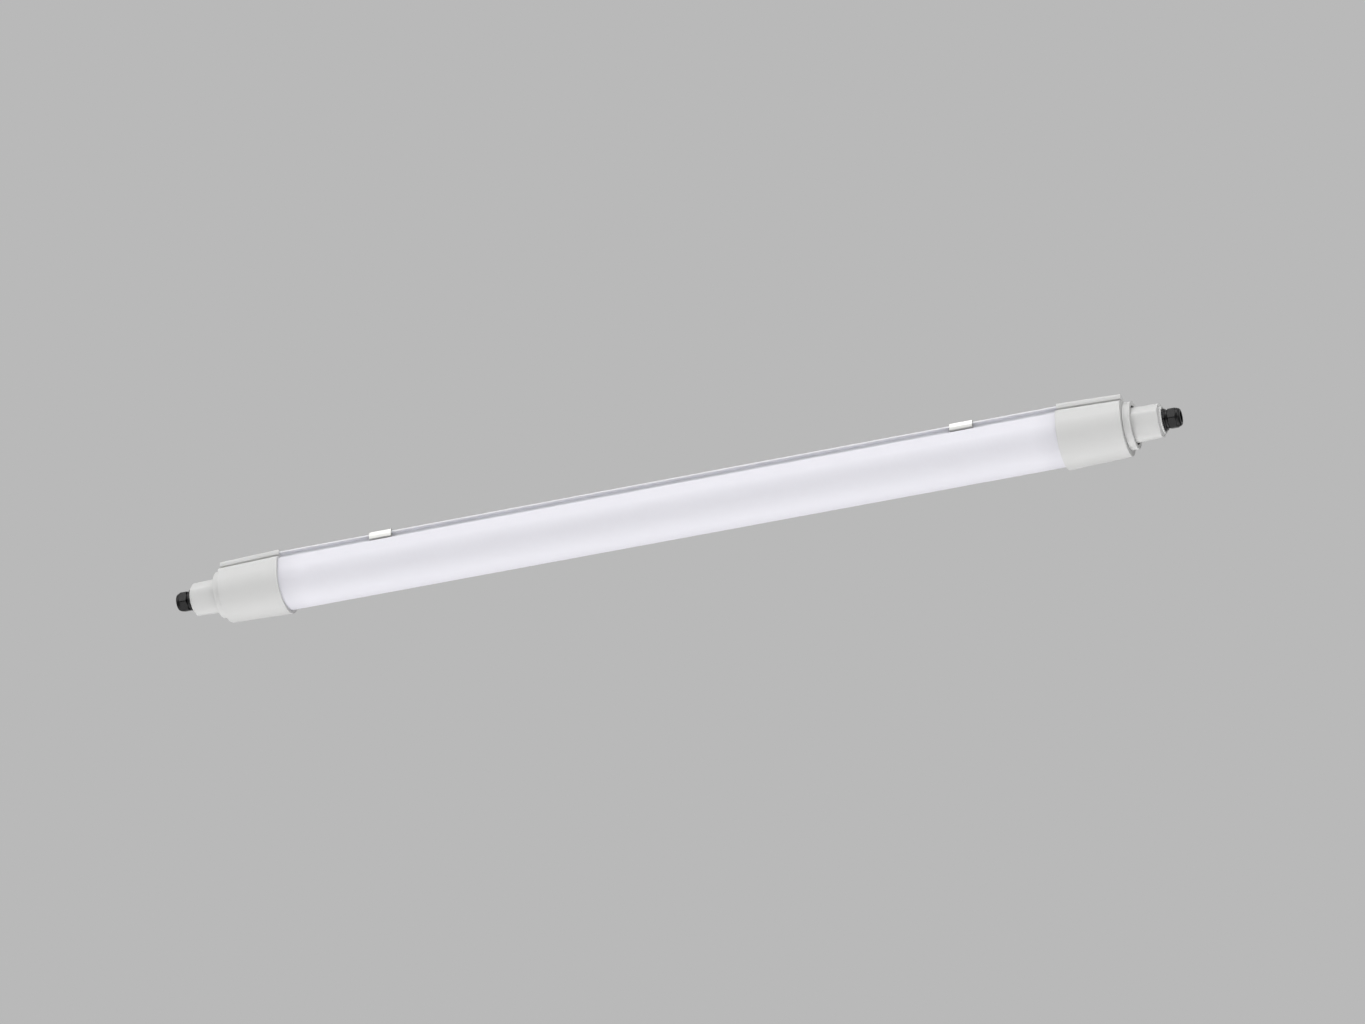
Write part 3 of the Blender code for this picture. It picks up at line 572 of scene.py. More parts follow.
# Cold-rolled stainless spring strip: bright, with fine lines along its length.
SPRING_STEEL = Finish("rolled_spring_steel", "BEBEBC", "B6B6B4", 0.34, metallic=1.0, grain_mm=0.5,
                      grain_depth_mm=0.004, drift_mm=9.0, draw=25.0)
# Zinc-plated screws: a little darker and duller than the strip.
ZINC = Finish("zinc_plated_steel", "C9CBCC", "B4B7B9", 0.38, metallic=1.0, grain_mm=0.4,
              grain_depth_mm=0.004, drift_mm=3.0)
# Mill aluminium sheet: pale grey with rolling lines along the tray.
ALUMINIUM = Finish("mill_aluminium", "D2D4D6", "C2C4C7", 0.36, metallic=1.0, grain_mm=0.5,
                   grain_depth_mm=0.006, drift_mm=30.0, draw=40.0)
# Turned brass: warm yellow with a fine turned grain.
BRASS = Finish("turned_brass", "D8B45C", "C79F48", 0.28, metallic=1.0, grain_mm=0.3,
               grain_depth_mm=0.004, drift_mm=4.0)
# White solder mask over copper: glossy white with a trace of the tracks beneath.
WHITE_MASK = Finish("white_solder_mask", "F0F0EC", "E4E4DF", 0.3, ior=1.55, grain_mm=1.5,
                    grain_depth_mm=0.02, drift_mm=6.0, coat=0.3)
# Green solder mask: glossy green, mottled where copper lies under it.
GREEN_MASK = Finish("green_solder_mask", "1F6B3A", "17552D", 0.32, ior=1.55, grain_mm=1.5,
                    grain_depth_mm=0.02, drift_mm=5.0, coat=0.3)
# Plain white moulded plastic inside the light: smoother and glossier than the caps.
WHITE_PLASTIC = Finish("moulded_white_plastic", "EDEDE8", "E6E6E0", 0.4, grain_mm=0.8,
                       grain_depth_mm=0.012, drift_mm=20.0)
# Soft vinyl insulation: a waxy half gloss.
VINYL = {"grain_mm": 0.6, "grain_depth_mm": 0.02, "drift_mm": 15.0}
BROWN_SHEATH = Finish("brown_wire_insulation", "6B3A1E", "5C3018", 0.45, **VINYL)
BLUE_SHEATH = Finish("blue_wire_insulation", "2C63B0", "2556A0", 0.45, **VINYL)
EARTH_SHEATH = StripedSheath("striped_earth_insulation", "2E8B45", "277B3B", 0.45, **VINYL)
RED_SHEATH = Finish("red_wire_insulation", "C02A22", "AB231C", 0.45, **VINYL)
BLACK_SHEATH = Finish("black_wire_insulation", "242424", "1B1B1B", 0.45, **VINYL)


class Slot(Enum):
    """The record's material slots that new pieces take their finish from."""

    MOULDING = "white_moulding"
    EXTRUSION = "white_extrusion"
    FROSTED = "frosted_plastic"
    BLACK = "black_plastic"
    STEEL = "spring_steel"
    RUBBER = "seal_rubber"
    BRASS = "pin_brass"
    WHITE = "white_plastic"


SLOT_FINISHES = {
    Slot.MOULDING: MOULDED, Slot.EXTRUSION: EXTRUDED, Slot.FROSTED: OPAL, Slot.BLACK: NYLON,
    Slot.STEEL: SPRING_STEEL, Slot.RUBBER: RUBBER, Slot.BRASS: BRASS, Slot.WHITE: WHITE_PLASTIC,
}


class End(Enum):
    """The light's two ends, with the turn about the vertical that carries the right one there."""

    LEFT = math.pi
    RIGHT = 0.0

    @property
    def word(self) -> str:
        """The end's name, as in the nodes' names."""
        return self.name.lower()


def dress(piece: Piece, slot: Slot, body: str, *nodes: str) -> None:
    """Give a new piece its slot's finish, carry it on its body and let it stand for its solids.

    Args:
        piece: the piece, in place.
        slot: the record's material slot.
        body: the body that it moves with.
        nodes: the solids that it stands for.
    """
    piece.data.materials.clear()
    piece.data.materials.append(SLOT_FINISHES[slot].material())
    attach(piece, body)
    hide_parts(*nodes)
    places = np.array([corner[:] for corner in piece.bound_box])
    solid = np.array([[corner[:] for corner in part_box(node)] for node in nodes])
    off = np.abs(np.stack([places.min(0) - solid[:, 0].min(0), places.max(0) - solid[:, 1].max(0)])).max()
    LOG.info("%s: %d faces, its box within %.2f mm of its solid's", piece.name, len(piece.data.polygons),
             off * 1000)


# The tube

@dataclass(frozen=True)
class Housing:
    """The extruded rear housing: a flange, two webs, feet for the diffuser and rails for the tray."""

    # The +y half of the section, from the flange's top round the outside and back inside
    half: Corners = (
        (0, 0.0251, 0), (0.0290, 0.0251, 0.0007), (0.0290, 0.0229, 0.0005), (0.0245, 0.0229, 0.0006),
        (0.0245, 0.0120, 0.0003), (0.0280, 0.0120, 0.0003), (0.0280, 0.0104, 0.0003),
        (0.0245, 0.0104, 0.0003), (0.0245, 0.0010, 0.0003), (0.0205, 0.0010, 0.0003),
        (0.0205, 0.0024, 0.0003), (0.0225, 0.0024, 0.0002), (0.0225, 0.0229, 0.0008), (0, 0.0229, 0))

    def build(self) -> Piece:
        """The section carried along the tube."""
        half = soften(self.half, 4)
        return extruded("housing_extrusion", np.vstack([half[:-1], half[-2:0:-1] * (-1, 1)]))


@dataclass(frozen=True)
class Diffuser:
    """The opal diffuser: a shell with fine prisms along its length and hooks that turn inwards."""

    half_width: float = 0.0325
    depth: float = 0.0319
    shoulder: float = 0.0143
    hook: float = 0.0250
    wall: float = 0.0020
    shoulder_round: float = 0.0011
    inner_round: float = 0.0010
    rib_pitch: float = 0.00125
    rib_depth: float = 0.00006
    points_a_rib: int = 6
    fade_length: float = 0.004

    def outer_half(self) -> Points:
        """The outside from hook to bottom.

        Below the shoulder the surface dips by depth times (1 - cos(2 pi s / pitch)) / 2, where s is
        the length along the section; the dip fades in over the first stretch.

        Returns:
            The (y, z) points of the +y half.
        """
        upper = soften(((self.hook, self.shoulder, 0), (self.half_width, self.shoulder, self.shoulder_round),
                        (self.half_width, 0, 0)), 6)
        length = math.pi / 2 * math.sqrt((self.half_width**2 + self.depth**2) / 2)
        points_a_metre = self.points_a_rib / self.rib_pitch
        wall = np.linspace(upper[-2, 1], 0, int(upper[-2, 1] * points_a_metre))[1:]
        wall = np.stack([np.full_like(wall, self.half_width), wall], axis=1)
        curve = ellipse_arc(self.half_width, self.depth, 0, -90, int(length * points_a_metre))
        plain = np.vstack([wall, curve[1:]])
        run = np.concatenate([[0], np.cumsum(np.linalg.norm(np.diff(plain, axis=0), axis=1))])
        fade = np.clip(run / self.fade_length, 0, 1)
        dip = self.rib_depth * fade * (1 - np.cos(2 * np.pi * run / self.rib_pitch)) / 2
        out = np.gradient(plain, axis=0)
        out = np.stack([-out[:, 1], out[:, 0]], axis=1) / np.linalg.norm(out, axis=1, keepdims=True)
        ribbed = plain - out * dip[:, None]
        ribbed[-1, 0] = 0.0
        return np.vstack([upper[:-1], ribbed])

    def inner_half(self) -> Points:
        """The inside from bottom to hook.

        Returns:
            The (y, z) points of the +y half.
        """
        side = self.half_width - self.wall
        under = self.shoulder - self.wall
        curve = ellipse_arc(side, self.depth - self.wall, -90, 0, CURVE_STEPS)
        upper = soften(((side, 0, 0), (side, under, self.inner_round), (self.hook, under, 0)), 4)
        return np.vstack([curve, upper[1:]])

    def build(self) -> Piece:
        """The section carried along the tube.

        Returns:
            The diffuser.
        """
        outer = self.outer_half()
        inner = self.inner_half()
        outline = np.vstack([outer, outer[-2::-1] * (-1, 1), inner[:0:-1] * (-1, 1), inner])
        return extruded("opal_diffuser", outline)


# The ends, each shaped as the right one

@dataclass(frozen=True)
class EndCap:
    """The moulded cap that takes the tube, with a threaded spigot at its outer end.

    Each section is the +y half of its upper part, from the top to the centre line; half an ellipse of
    the depth given closes it below.
    """

    # Outside: a lip on top, a narrow slot at its side and a shoulder that slopes outwards
    outer: Corners = (
        (0, 0.0271, 0), (0.0306, 0.0271, 0.0008), (0.0306, 0.0240, 0.0010), (0.0298, 0.0212, 0.0006),
        (0.0262, 0.0212, 0.0005), (0.0262, 0.0186, 0.0005), (0.0296, 0.0186, 0.0006),
        (0.0365, 0.0143, 0.0045), (0.0365, 0, 0))
    outer_depth: float = 0.0361
    # Pocket: the tube's outside with a clearance of 0.3 mm
    pocket: Corners = (
        (0, 0.0254, 0), (0.0293, 0.0254, 0.0004), (0.0293, 0.0226, 0.0003), (0.0248, 0.0226, 0.0003),
        (0.0248, 0.0146, 0.0003), (0.0328, 0.0146, 0.0008), (0.0328, 0, 0))
    pocket_depth: float = 0.0322
    # Room: the hollow behind the tube's seat
    room: Corners = (
        (0, 0.0226, 0), (0.0220, 0.0226, 0.0010), (0.0220, 0.0118, 0.0005), (0.0302, 0.0118, 0.0020),
        (0.0302, 0, 0))
    room_depth: float = 0.0296
    mouth_x: float = 0.4645
    seat_x: float = 0.4871
    wall_x: float = 0.5353
    end_x: float = 0.5383
    spigot_x: float = 0.5412
    taper: float = 0.94
    edge: float = 0.0004
    mouth_flare: float = 0.0002
    bore_radius: float = 0.0190
    spigot_radius: float = 0.0236
    spigot_edge: float = 0.0003
    thread_pitch: float = 0.00133
    thread_starts: int = 3
    thread_rings: int = 25
    thread_depth: float = 0.00025
    run_in: float = 0.0004
    run_out: float = 0.0005

    def outside(self) -> Points:
        """Rings from the mouth to the end face, drawn in at both edges by a quarter round.

        At turn a the edge is drawn in by r (1 - sin a) and set back by r (1 - cos a).

        Returns:
            Rings x points a ring x 3.
        """
        turn = np.radians(np.linspace(0, 90, 6))
        depth = self.edge * (1 - np.sin(turn))
        set_back = self.edge * (1 - np.cos(turn))
        x = np.concatenate([self.mouth_x + set_back, self.end_x - set_back[::-1]])
        scale = 1 - (1 - self.taper) * (x - self.mouth_x) / (self.end_x - self.mouth_x)
        outline = closed_below(soften(self.outer, 6), self.outer_depth)
        return drawn_in(outline, x, np.concatenate([depth, depth[::-1]]), scale)

    def spigot(self) -> Points:
        """The spigot's rings, its thread fading at both ends.

        At turn t, from 0 to 1, the thread dips by depth times (1 - cos(2 pi (x / pitch - starts t))) / 2.

        Returns:
            Rings x points a ring x 3.
        """
        x = np.linspace(self.end_x, self.spigot_x, self.thread_rings)
        turn = np.arange(ROUND_STEPS) / ROUND_STEPS
        fade = (np.clip((x - self.end_x) / self.run_in, 0, 1)
                * np.clip((self.spigot_x - x) / self.run_out, 0, 1))
        phase = x[:, None] / self.thread_pitch - self.thread_starts * turn[None]
        wave = 0.5 - 0.5 * np.cos(2 * np.pi * phase)
        radius = self.spigot_radius - self.thread_depth * wave * fade[:, None]
        radius[0] = self.spigot_radius
        radius[-1] = self.spigot_radius - self.spigot_edge
        return turned(x, radius)

    def build(self) -> Piece:
        """The outside, the end face with its threaded spigot and bore, the room and the tube's pocket.

        Returns:
            The cap.
        """
        skin = Skin()
        outside = skin.grid(self.outside())
        spigot = skin.grid(self.spigot())
        skin.flat(outside[-1], spigot[0])
        bore = skin.grid(turned(np.array([self.spigot_x, self.wall_x]), np.full(2, self.bore_radius)))
        skin.flat(spigot[-1], bore[0])
        hollow = closed_below(soften(self.room, 3), self.room_depth, 24)
        room = skin.grid(along(hollow, np.array([self.wall_x, self.seat_x])))
        skin.flat(room[0], bore[-1])
        outline = closed_below(soften(self.pocket, 3), self.pocket_depth)
        x = np.array([self.seat_x, self.mouth_x + self.edge, self.mouth_x])
        pocket = skin.grid(drawn_in(outline, x, (0.0, 0.0, -self.mouth_flare)))
        skin.flat(pocket[0], room[-1])
        skin.flat(outside[0], pocket[-1])
        return skin.piece("cap_moulding")


@dataclass(frozen=True)
class PoleLayout:
    """Where the three poles stand round the centre line."""

    radius: float = 0.0080

    def centres(self) -> Points:
        """Three (y, z) places a third of a turn apart, the first straight up."""
        turn = np.radians(90 + 120 * np.arange(3))
        return self.radius * np.stack([np.cos(turn), np.sin(turn)], axis=1)


@dataclass(frozen=True)
class TurnedRing:
    """A ring of square section with its four edges rounded by the same radius, turned about the line."""

    name: str
    x_from: float
    x_to: float
    inner: float
    outer: float
    edge: float

    def build(self) -> Piece:
        """The section, drawn from the middle of its outside, turned about the line.

        Returns:
            The ring.
        """
        middle = (self.x_from + self.x_to) / 2
        corners = [(self.x_to, self.outer), (self.x_to, self.inner), (self.x_from, self.inner),
                   (self.x_from, self.outer)]
        start = (middle, self.outer, 0)
        rounded = [(x, radius, self.edge) for x, radius in corners]
        return looped(self.name, section([start, *rounded, start], 4)[:-1])


HOUSING_SEAL = TurnedRing("housing_seal_ring", x_from=0.5415, x_to=0.5425, inner=0.0206, outer=0.0236,
                          edge=0.0004)
SLIP_WASHER = TurnedRing("slip_washer", x_from=0.5448, x_to=0.5456, inner=0.0226, outer=0.0236, edge=0.0002)
SEAT_WASHER = TurnedRing("gland_seat_washer", x_from=0.5796, x_to=0.5804, inner=0.0101, outer=0.0125,
                         edge=0.0003)
CABLE_SEAL = TurnedRing("cable_seal", x_from=0.5855, x_to=0.5955, inner=0.0045, outer=0.0078, edge=0.0009)
CLAMP_RING = TurnedRing("gland_clamp_ring", x_from=0.5958, x_to=0.5969, inner=0.0062, outer=0.0095,
                        edge=0.0003)


@dataclass(frozen=True)
class PiercedBar:
    """A round bar with a lead-in hole for each pole through its length, widened by the flare at both ends."""

    name: str
    corners: Corners
    hole: float
    flare: float

    def build(self) -> Piece:
        """The outside, the holes and the two pierced faces.

        Returns:
            The bar.
        """
        skin = Skin()
        x, radius = soften(self.corners, 4).T
        outside = skin.grid(turned(x, radius))
        ends = np.array([x[0], x[0] + self.flare, x[-1] - self.flare, x[-1]])
        widths = np.array([self.hole + self.flare, self.hole, self.hole, self.hole + self.flare])
        holes = [skin.grid(turned(ends, widths, HOLE_STEPS) + (0, *centre))
                 for centre in PoleLayout().centres()]
        skin.flat(outside[0], *[ring[0] for ring in holes])
        skin.flat(outside[-1], *[ring[-1] for ring in holes])
        return skin.piece(self.name)


PIN_CARRIER = PiercedBar("pin_carrier_moulding", (
    (0.5325, 0.0208, 0), (0.5329, 0.0212, 0.0003), (0.5350, 0.0212, 0.0003), (0.5350, 0.0187, 0),
    (0.5397, 0.0187, 0.0005), (0.5403, 0.0181, 0)), hole=0.0018, flare=0.0003)
TERMINAL_BLOCK = PiercedBar("terminal_block_moulding", (
    (0.5452, 0.0163, 0), (0.5456, 0.0167, 0), (0.5608, 0.0167, 0), (0.5612, 0.0163, 0)),
    hole=0.0020, flare=0.0006)


@dataclass(frozen=True)
class ContactPin:
    """A turned pin: a shank with a waist, and a bullet nose that ends in a small flat tip."""

    x_from: float = 0.5297
    x_to: float = 0.5527
    radius: float = 0.0015
    nose_length: float = 0.0022
    nose_rings: int = 8
    least_square: float = 0.002
    # The shank's rings: place from the pin's start, and share of the radius
    shank: tuple[tuple[float, float], ...] = ((0.0, 0.85), (0.0002, 1.0), (0.0180, 1.0), (0.0184, 0.9),
                                              (0.0190, 0.9), (0.0194, 1.0))

    def build(self, number: int, centre: Points) -> Piece:
        """A pole's pin, whose nose has the radius r sqrt(1 - t^2) at t, from 0 to 1 along it.

        Args:
            number: the pole's number, from 1.
            centre: the pole's (y, z) place.

        Returns:
            The pin.
        """
        nose = np.linspace(0, 1, self.nose_rings)
        shank = np.array(self.shank)
        x = np.concatenate([self.x_from + shank[:, 0], self.x_to - self.nose_length * (1 - nose)])
        share = np.concatenate([shank[:, 1], np.sqrt(np.maximum(1 - nose**2, self.least_square))])
        skin = Skin()
        skin.ends(skin.grid(turned(x, self.radius * share, HOLE_STEPS) + (0, *centre)))
        pin = skin.piece("contact_pin_turning")
        pin.name = f"contact_pin_turning_{number}"
        return pin


# The collar that draws the plug on to the cap: sunk a little between two beads, with an inner lip
LOCK_RING: Corners = (
    (0.5430, 0.0270, 0), (0.5449, 0.0270, 0.0003), (0.5454, 0.0272, 0.0003), (0.5473, 0.0272, 0.0005),
    (0.5473, 0.0226, 0.0003), (0.5459, 0.0226, 0.0003), (0.5459, 0.0239, 0.0004), (0.5386, 0.0239, 0.0003),
    (0.5386, 0.0272, 0.0005), (0.5398, 0.0272, 0.0003), (0.5402, 0.0270, 0.0003), (0.5430, 0.0270, 0))


@dataclass(frozen=True)
class TerminalHousing:
    """The tapered neck: a round flange, a rounded diamond with soft ridges, a chamfer and a round rim."""

    outer: Corners = (
        (0.5428, 0.0200, 0), (0.5428, 0.0236, 0.0003), (0.5445, 0.0236, 0.0003), (0.5445, 0.0222, 0.0004),
        (0.5769, 0.0210, 0.0009), (0.5789, 0.0155, 0.0004), (0.5804, 0.0155, 0.0005), (0.5804, 0.0128, 0))
    bore: Corners = (
        (0.5804, 0.0128, 0), (0.5793, 0.0128, 0.0003), (0.5793, 0.0101, 0.0003), (0.5758, 0.0101, 0.0003),
        (0.5758, 0.0130, 0.0003), (0.5678, 0.0130, 0.0003), (0.5678, 0.0170, 0.0003),
        (0.5428, 0.0170, 0.0004), (0.5428, 0.0200, 0))
    diamond_from_x: float = 0.5445
    diamond_below: float = 0.0225
    blend_from_x: float = 0.5761
    blend_to_x: float = 0.5789
    diamond: float = 1.5
    circle: float = 2.0

    def build(self) -> Piece:
        """The outside and the bore as one closed loop of rings.

        At angle a the radius is R (|cos a|^p + |sin a|^p)^(-1/p), a circle at p = 2 and a rounded
        diamond at p = 1.5. R follows the section, and p passes from 1.5 to 2 over the chamfer.

        Returns:
            The neck.
        """
        outer = soften(self.outer, 6)
        bore = soften(self.bore, 4)[1:-1]
        shaped = (outer[:, 0] > self.diamond_from_x - MERGE) & (outer[:, 1] < self.diamond_below)
        passing = np.interp(outer[:, 0], [self.blend_from_x, self.blend_to_x], [self.diamond, self.circle])
        power = np.concatenate([np.where(shaped, passing, self.circle), np.full(len(bore), self.circle)])
        power = power[:, None]
        loop = np.vstack([outer, bore])
        turn = 2 * np.pi * np.arange(FINE_STEPS) / FINE_STEPS
        shape = (np.abs(np.cos(turn)) ** power + np.abs(np.sin(turn)) ** power) ** (-1 / power)
        return looped("neck_moulding", turned(loop[:, 0], loop[:, 1:] * shape, FINE_STEPS))


@dataclass(frozen=True)
class Gland:
    """The black cable gland: a fixed hexagon with a threaded stem, and a domed nut.

    The widest part of each section turns its hexagon's corners down to 0.975 of their radius.
    """

    body_flats: float = 0.0240
    body_outer: Corners = (
        (0.5722, 0.0080, 0), (0.5722, 0.0098, 0.0004), (0.5807, 0.0098, 0.0003), (0.5807, 0.0116, 0.0002),
        (0.5814, 0.01351, 0.0004), (0.5826, 0.01351, 0.0004), (0.5833, 0.0118, 0.0002),
        (0.5833, 0.0106, 0.0003), (0.5859, 0.0106, 0.0004), (0.5859, 0.0095, 0))
    body_bore: Corners = (
        (0.5929, 0.0088, 0), (0.5929, 0.0081, 0.0002), (0.5852, 0.0081, 0.0002), (0.5852, 0.0068, 0.0003),
        (0.5722, 0.0068, 0.0003), (0.5722, 0.0080, 0))
    nut_flats: float = 0.0220
    nut_outer: Corners = (
        (0.5862, 0.0103, 0), (0.5862, 0.0108, 0.0002), (0.5869, 0.0123842, 0.0004),
        (0.5945, 0.0123842, 0.0005), (0.5954, 0.0110, 0.0003), (0.5954, 0.0107, 0.0002),
        (0.5968, 0.0107, 0.0003), (0.5968, 0.0103, 0))
    nut_bore: Corners = (
        (0.6000, 0.0068, 0), (0.6000, 0.0062, 0.0004), (0.5972, 0.0062, 0.0003), (0.5972, 0.0098, 0.0003),
        (0.5862, 0.0098, 0.0004), (0.5862, 0.0103, 0))
    dome_x: float = 0.5968
    dome_radius: float = 0.0103
    dome_rings: int = 10
    tip_x: float = 0.6000
    tip_radius: float = 0.0078
    thread_rings: int = 56
    thread_x: float = 0.5860
    thread_end_x: float = 0.5928
    thread_radius: float = 0.0095
    thread_depth: float = 0.0007
    thread_run_out: float = 0.0008
    run_out_share: float = 0.07
    run_out_least: float = 0.25
    pitch: float = 0.0015
    ease: float = 0.00004

    def hexed(self, corners: Corners, flats: float) -> Points:
        """Rings of a section held in by a hexagon with a corner on top, with the edge between eased.

        At angle a from a flat's middle the hexagon's radius is half its width across flats over cos a.

        Args:
            corners: the rings' section.
            flats: the hexagon's width across its flats.

        Returns:
            The rings, whose radius is the smaller of the section's and the hexagon's.
        """
        x, reach = soften(corners, 4).T
        turn = 2 * np.pi * np.arange(FINE_STEPS) / FINE_STEPS
        local = np.mod(turn + np.pi / 6, np.pi / 3) - np.pi / 6
        radius = np.broadcast_to(reach[:, None], (len(x), FINE_STEPS))
        side = np.broadcast_to(flats / 2 / np.cos(local)[None], radius.shape)
        # Rings well inside the hexagon stay exact circles
        small = radius < flats / 2 - 5 * self.ease
        return turned(x, np.where(small, radius, soft_least(radius, side, self.ease)), FINE_STEPS)

    def thread(self) -> Points:
        """The thread's rings: it dips by depth times a triangle wave of (x / pitch - turns).

        Returns:
            Rings x points a ring x 3.
        """
        x = np.linspace(self.thread_x, self.thread_end_x, self.thread_rings)
        turns = np.arange(FINE_STEPS) / FINE_STEPS
        wave = np.abs(np.mod(x[:, None] / self.pitch - turns[None], 1.0) * 2 - 1)
        to_end = (self.body_bore[0][0] - x) / self.thread_run_out
        share = 1 - self.run_out_share * (1 - np.clip(to_end, self.run_out_least, 1))[:, None]
        return turned(x, (self.thread_radius - self.thread_depth * wave) * share, FINE_STEPS)

    def body(self) -> Piece:
        """The fixed body: its tail in the neck, the hexagon, the waist, the thread and the bore.

        Returns:
            The body.
        """
        return looped("gland_body_moulding", np.concatenate([
            self.hexed(self.body_outer, self.body_flats), self.thread(),
            section(self.body_bore, 4, FINE_STEPS)[:-1]]))

    def nut(self) -> Piece:
        """The nut: a hexagon with turned-down corners, a ring, and a dome down to the cable hole.

        The dome is a quarter ellipse from the ring's radius less a step to the radius at the tip.

        Returns:
            The nut.
        """
        turn = np.radians(np.linspace(0, 90, self.dome_rings))[1:]
        x = self.dome_x + (self.tip_x - self.dome_x) * np.sin(turn)
        radius = self.tip_radius + (self.dome_radius - self.tip_radius) * np.cos(turn)
        return looped("gland_nut_moulding", np.concatenate([
            self.hexed(self.nut_outer, self.nut_flats), turned(x, radius, FINE_STEPS),
            section(self.nut_bore, 4, FINE_STEPS)[:-1]]))


@dataclass(frozen=True)
class LampEnd:
    """One end of the light, with everything from its cap to its gland nut."""

    end: End

    def add(self, piece: Piece, slot: Slot, body: str, node: str) -> None:
        """Name a piece for this end, turn its mesh there and dress it.

        Args:
            piece: the piece, shaped for the right end.
            slot: its material slot.
            body: the body that it moves with.
            node: the solid that it stands for, without the end's name.
        """
        piece.name = f"{self.end.word}_{piece.name}"
        piece.data.transform(Matrix.Rotation(self.end.value, 4, "Z"))
        dress(piece, slot, body, f"{self.end.word}_{node}")

    def build(self) -> None:
        """Make and dress every piece of the end, from the cap outwards."""
        lamp = "lamp_body"
        plug, ring, nut = (f"{self.end.word}_{part}" for part in ("plug", "ring", "nut"))
        self.add(EndCap().build(), Slot.MOULDING, lamp, "end_cap")
        self.add(PIN_CARRIER.build(), Slot.BLACK, lamp, "pin_carrier")
        for number, centre in enumerate(PoleLayout().centres(), 1):
            self.add(ContactPin().build(number, centre), Slot.BRASS, lamp, f"contact_pin_{number}")
        self.add(TerminalHousing().build(), Slot.MOULDING, plug, "terminal_housing")
        self.add(HOUSING_SEAL.build(), Slot.RUBBER, plug, "housing_seal")
        self.add(TERMINAL_BLOCK.build(), Slot.WHITE, plug, "terminal_block")
        self.add(SLIP_WASHER.build(), Slot.BLACK, f"{ring}_carrier", "slip_ring")
        collar = looped("lock_ring_moulding", section(LOCK_RING, 5, 128)[:-1])
        self.add(collar, Slot.MOULDING, ring, "lock_ring")
        self.add(SEAT_WASHER.build(), Slot.RUBBER, plug, "gland_washer")
        self.add(Gland().body(), Slot.BLACK, plug, "gland_body")
        self.add(CABLE_SEAL.build(), Slot.RUBBER, plug, "sealing_insert")
        self.add(CLAMP_RING.build(), Slot.BLACK, f"{nut}_carrier", "clamp_ring")
        self.add(Gland().nut(), Slot.BLACK, nut, "gland_nut")


# The ceiling clips

@dataclass(frozen=True)
class CeilingClip:
    """A spring clip bent from steel strip: a back on the ceiling, two creased legs and their hooks."""

    side: str
    middle_x: float
    width: float = 0.0270
    edge: float = 0.0002
    hole: float = 0.00225
    # The +y leg of the section, from the back's top down the outside, and back up the inside
    outer: Corners = (
        (0.0120, 0.0275, 0), (0.0303, 0.0275, 0.0013), (0.0310, 0.0215, 0.0004), (0.03072, 0.0168, 0.0013),
        (0.0268, 0.0168, 0.0013), (0.0268, 0.0226, 0))
    inner: Corners = (
        (0.0276, 0.0226, 0), (0.0276, 0.0176, 0.0005), (0.02992, 0.0176, 0.0005), (0.0302, 0.0215, 0.0004),
        (0.0295, 0.0267, 0.0005), (0.0120, 0.0267, 0))

    def build(self) -> Piece:
        """The section carried across the strip's width, with a screw hole through the back.

        The section's two halves meet on the back's top and underside, where the middle band's faces
        give way to flat ones with the hole in them.

        Returns:
            The clip.
        """
        leg = np.vstack([soften(self.outer, 5), soften(self.inner, 5)])
        outline = np.vstack([leg, leg[::-1] * (-1, 1)])
        last, under = len(outline) - 1, len(leg) - 1
        half = self.width / 2
        x = self.middle_x + np.array([-half, -half + self.edge, half - self.edge, half])
        skin = Skin()
        numbers = skin.grid(drawn_in(outline, x, (self.edge, 0.0, 0.0, self.edge)))
        faces = skin.quads.pop()
        band, place = np.divmod(faces[:, 0] - numbers[0, 0], len(outline))
        skin.quads.append(faces[~(np.isin(place, (last, under)) & (band == 1))])
        hole = skin.grid(self.hole_rings())
        skin.flat(numbers[[1, 1, 2, 2], [0, last, last, 0]], hole[0])
        skin.flat(numbers[[1, 1, 2, 2], [under, under + 1, under + 1, under]], hole[-1])
        skin.ends(numbers)
        return skin.piece(f"{self.side}_clip_strip", crease=30.0)

    def hole_rings(self) -> Points:
        """Two level circles round the hole's middle, on the back's two faces.

        Returns:
            Two rings x points a ring x 3.
        """
        turn = 2 * np.pi * np.arange(HOLE_STEPS) / HOLE_STEPS
        ring = np.stack([self.middle_x + self.hole * np.cos(turn), self.hole * np.sin(turn),
                         np.zeros(HOLE_STEPS)], axis=1)
        levels = np.array([self.outer[0][1], self.inner[-1][1]]) + CENTRE_LINE
        return ring[None] + np.stack([np.zeros(2), np.zeros(2), levels], axis=1)[:, None]


# Inner pieces, which keep their solids

INNER_FINISHES: dict[str, Finish] = {
    "cap_gasket": RUBBER, "led_tray": ALUMINIUM, "led_board_screw": ZINC, "driver_screw": ZINC,
    "led_board": WHITE_MASK, "board_bridge": WHITE_PLASTIC, "driver_case": WHITE_PLASTIC,
    "driver_lid": WHITE_PLASTIC, "driver_board": GREEN_MASK, "wire_tap": WHITE_PLASTIC,
    "through_wire_live": BROWN_SHEATH, "through_wire_neutral": BLUE_SHEATH,
    "through_wire_earth": EARTH_SHEATH, "ac_lead_live": BROWN_SHEATH, "ac_lead_neutral": BLUE_SHEATH,
    "dc_lead_plus": RED_SHEATH, "dc_lead_minus": BLACK_SHEATH,
}


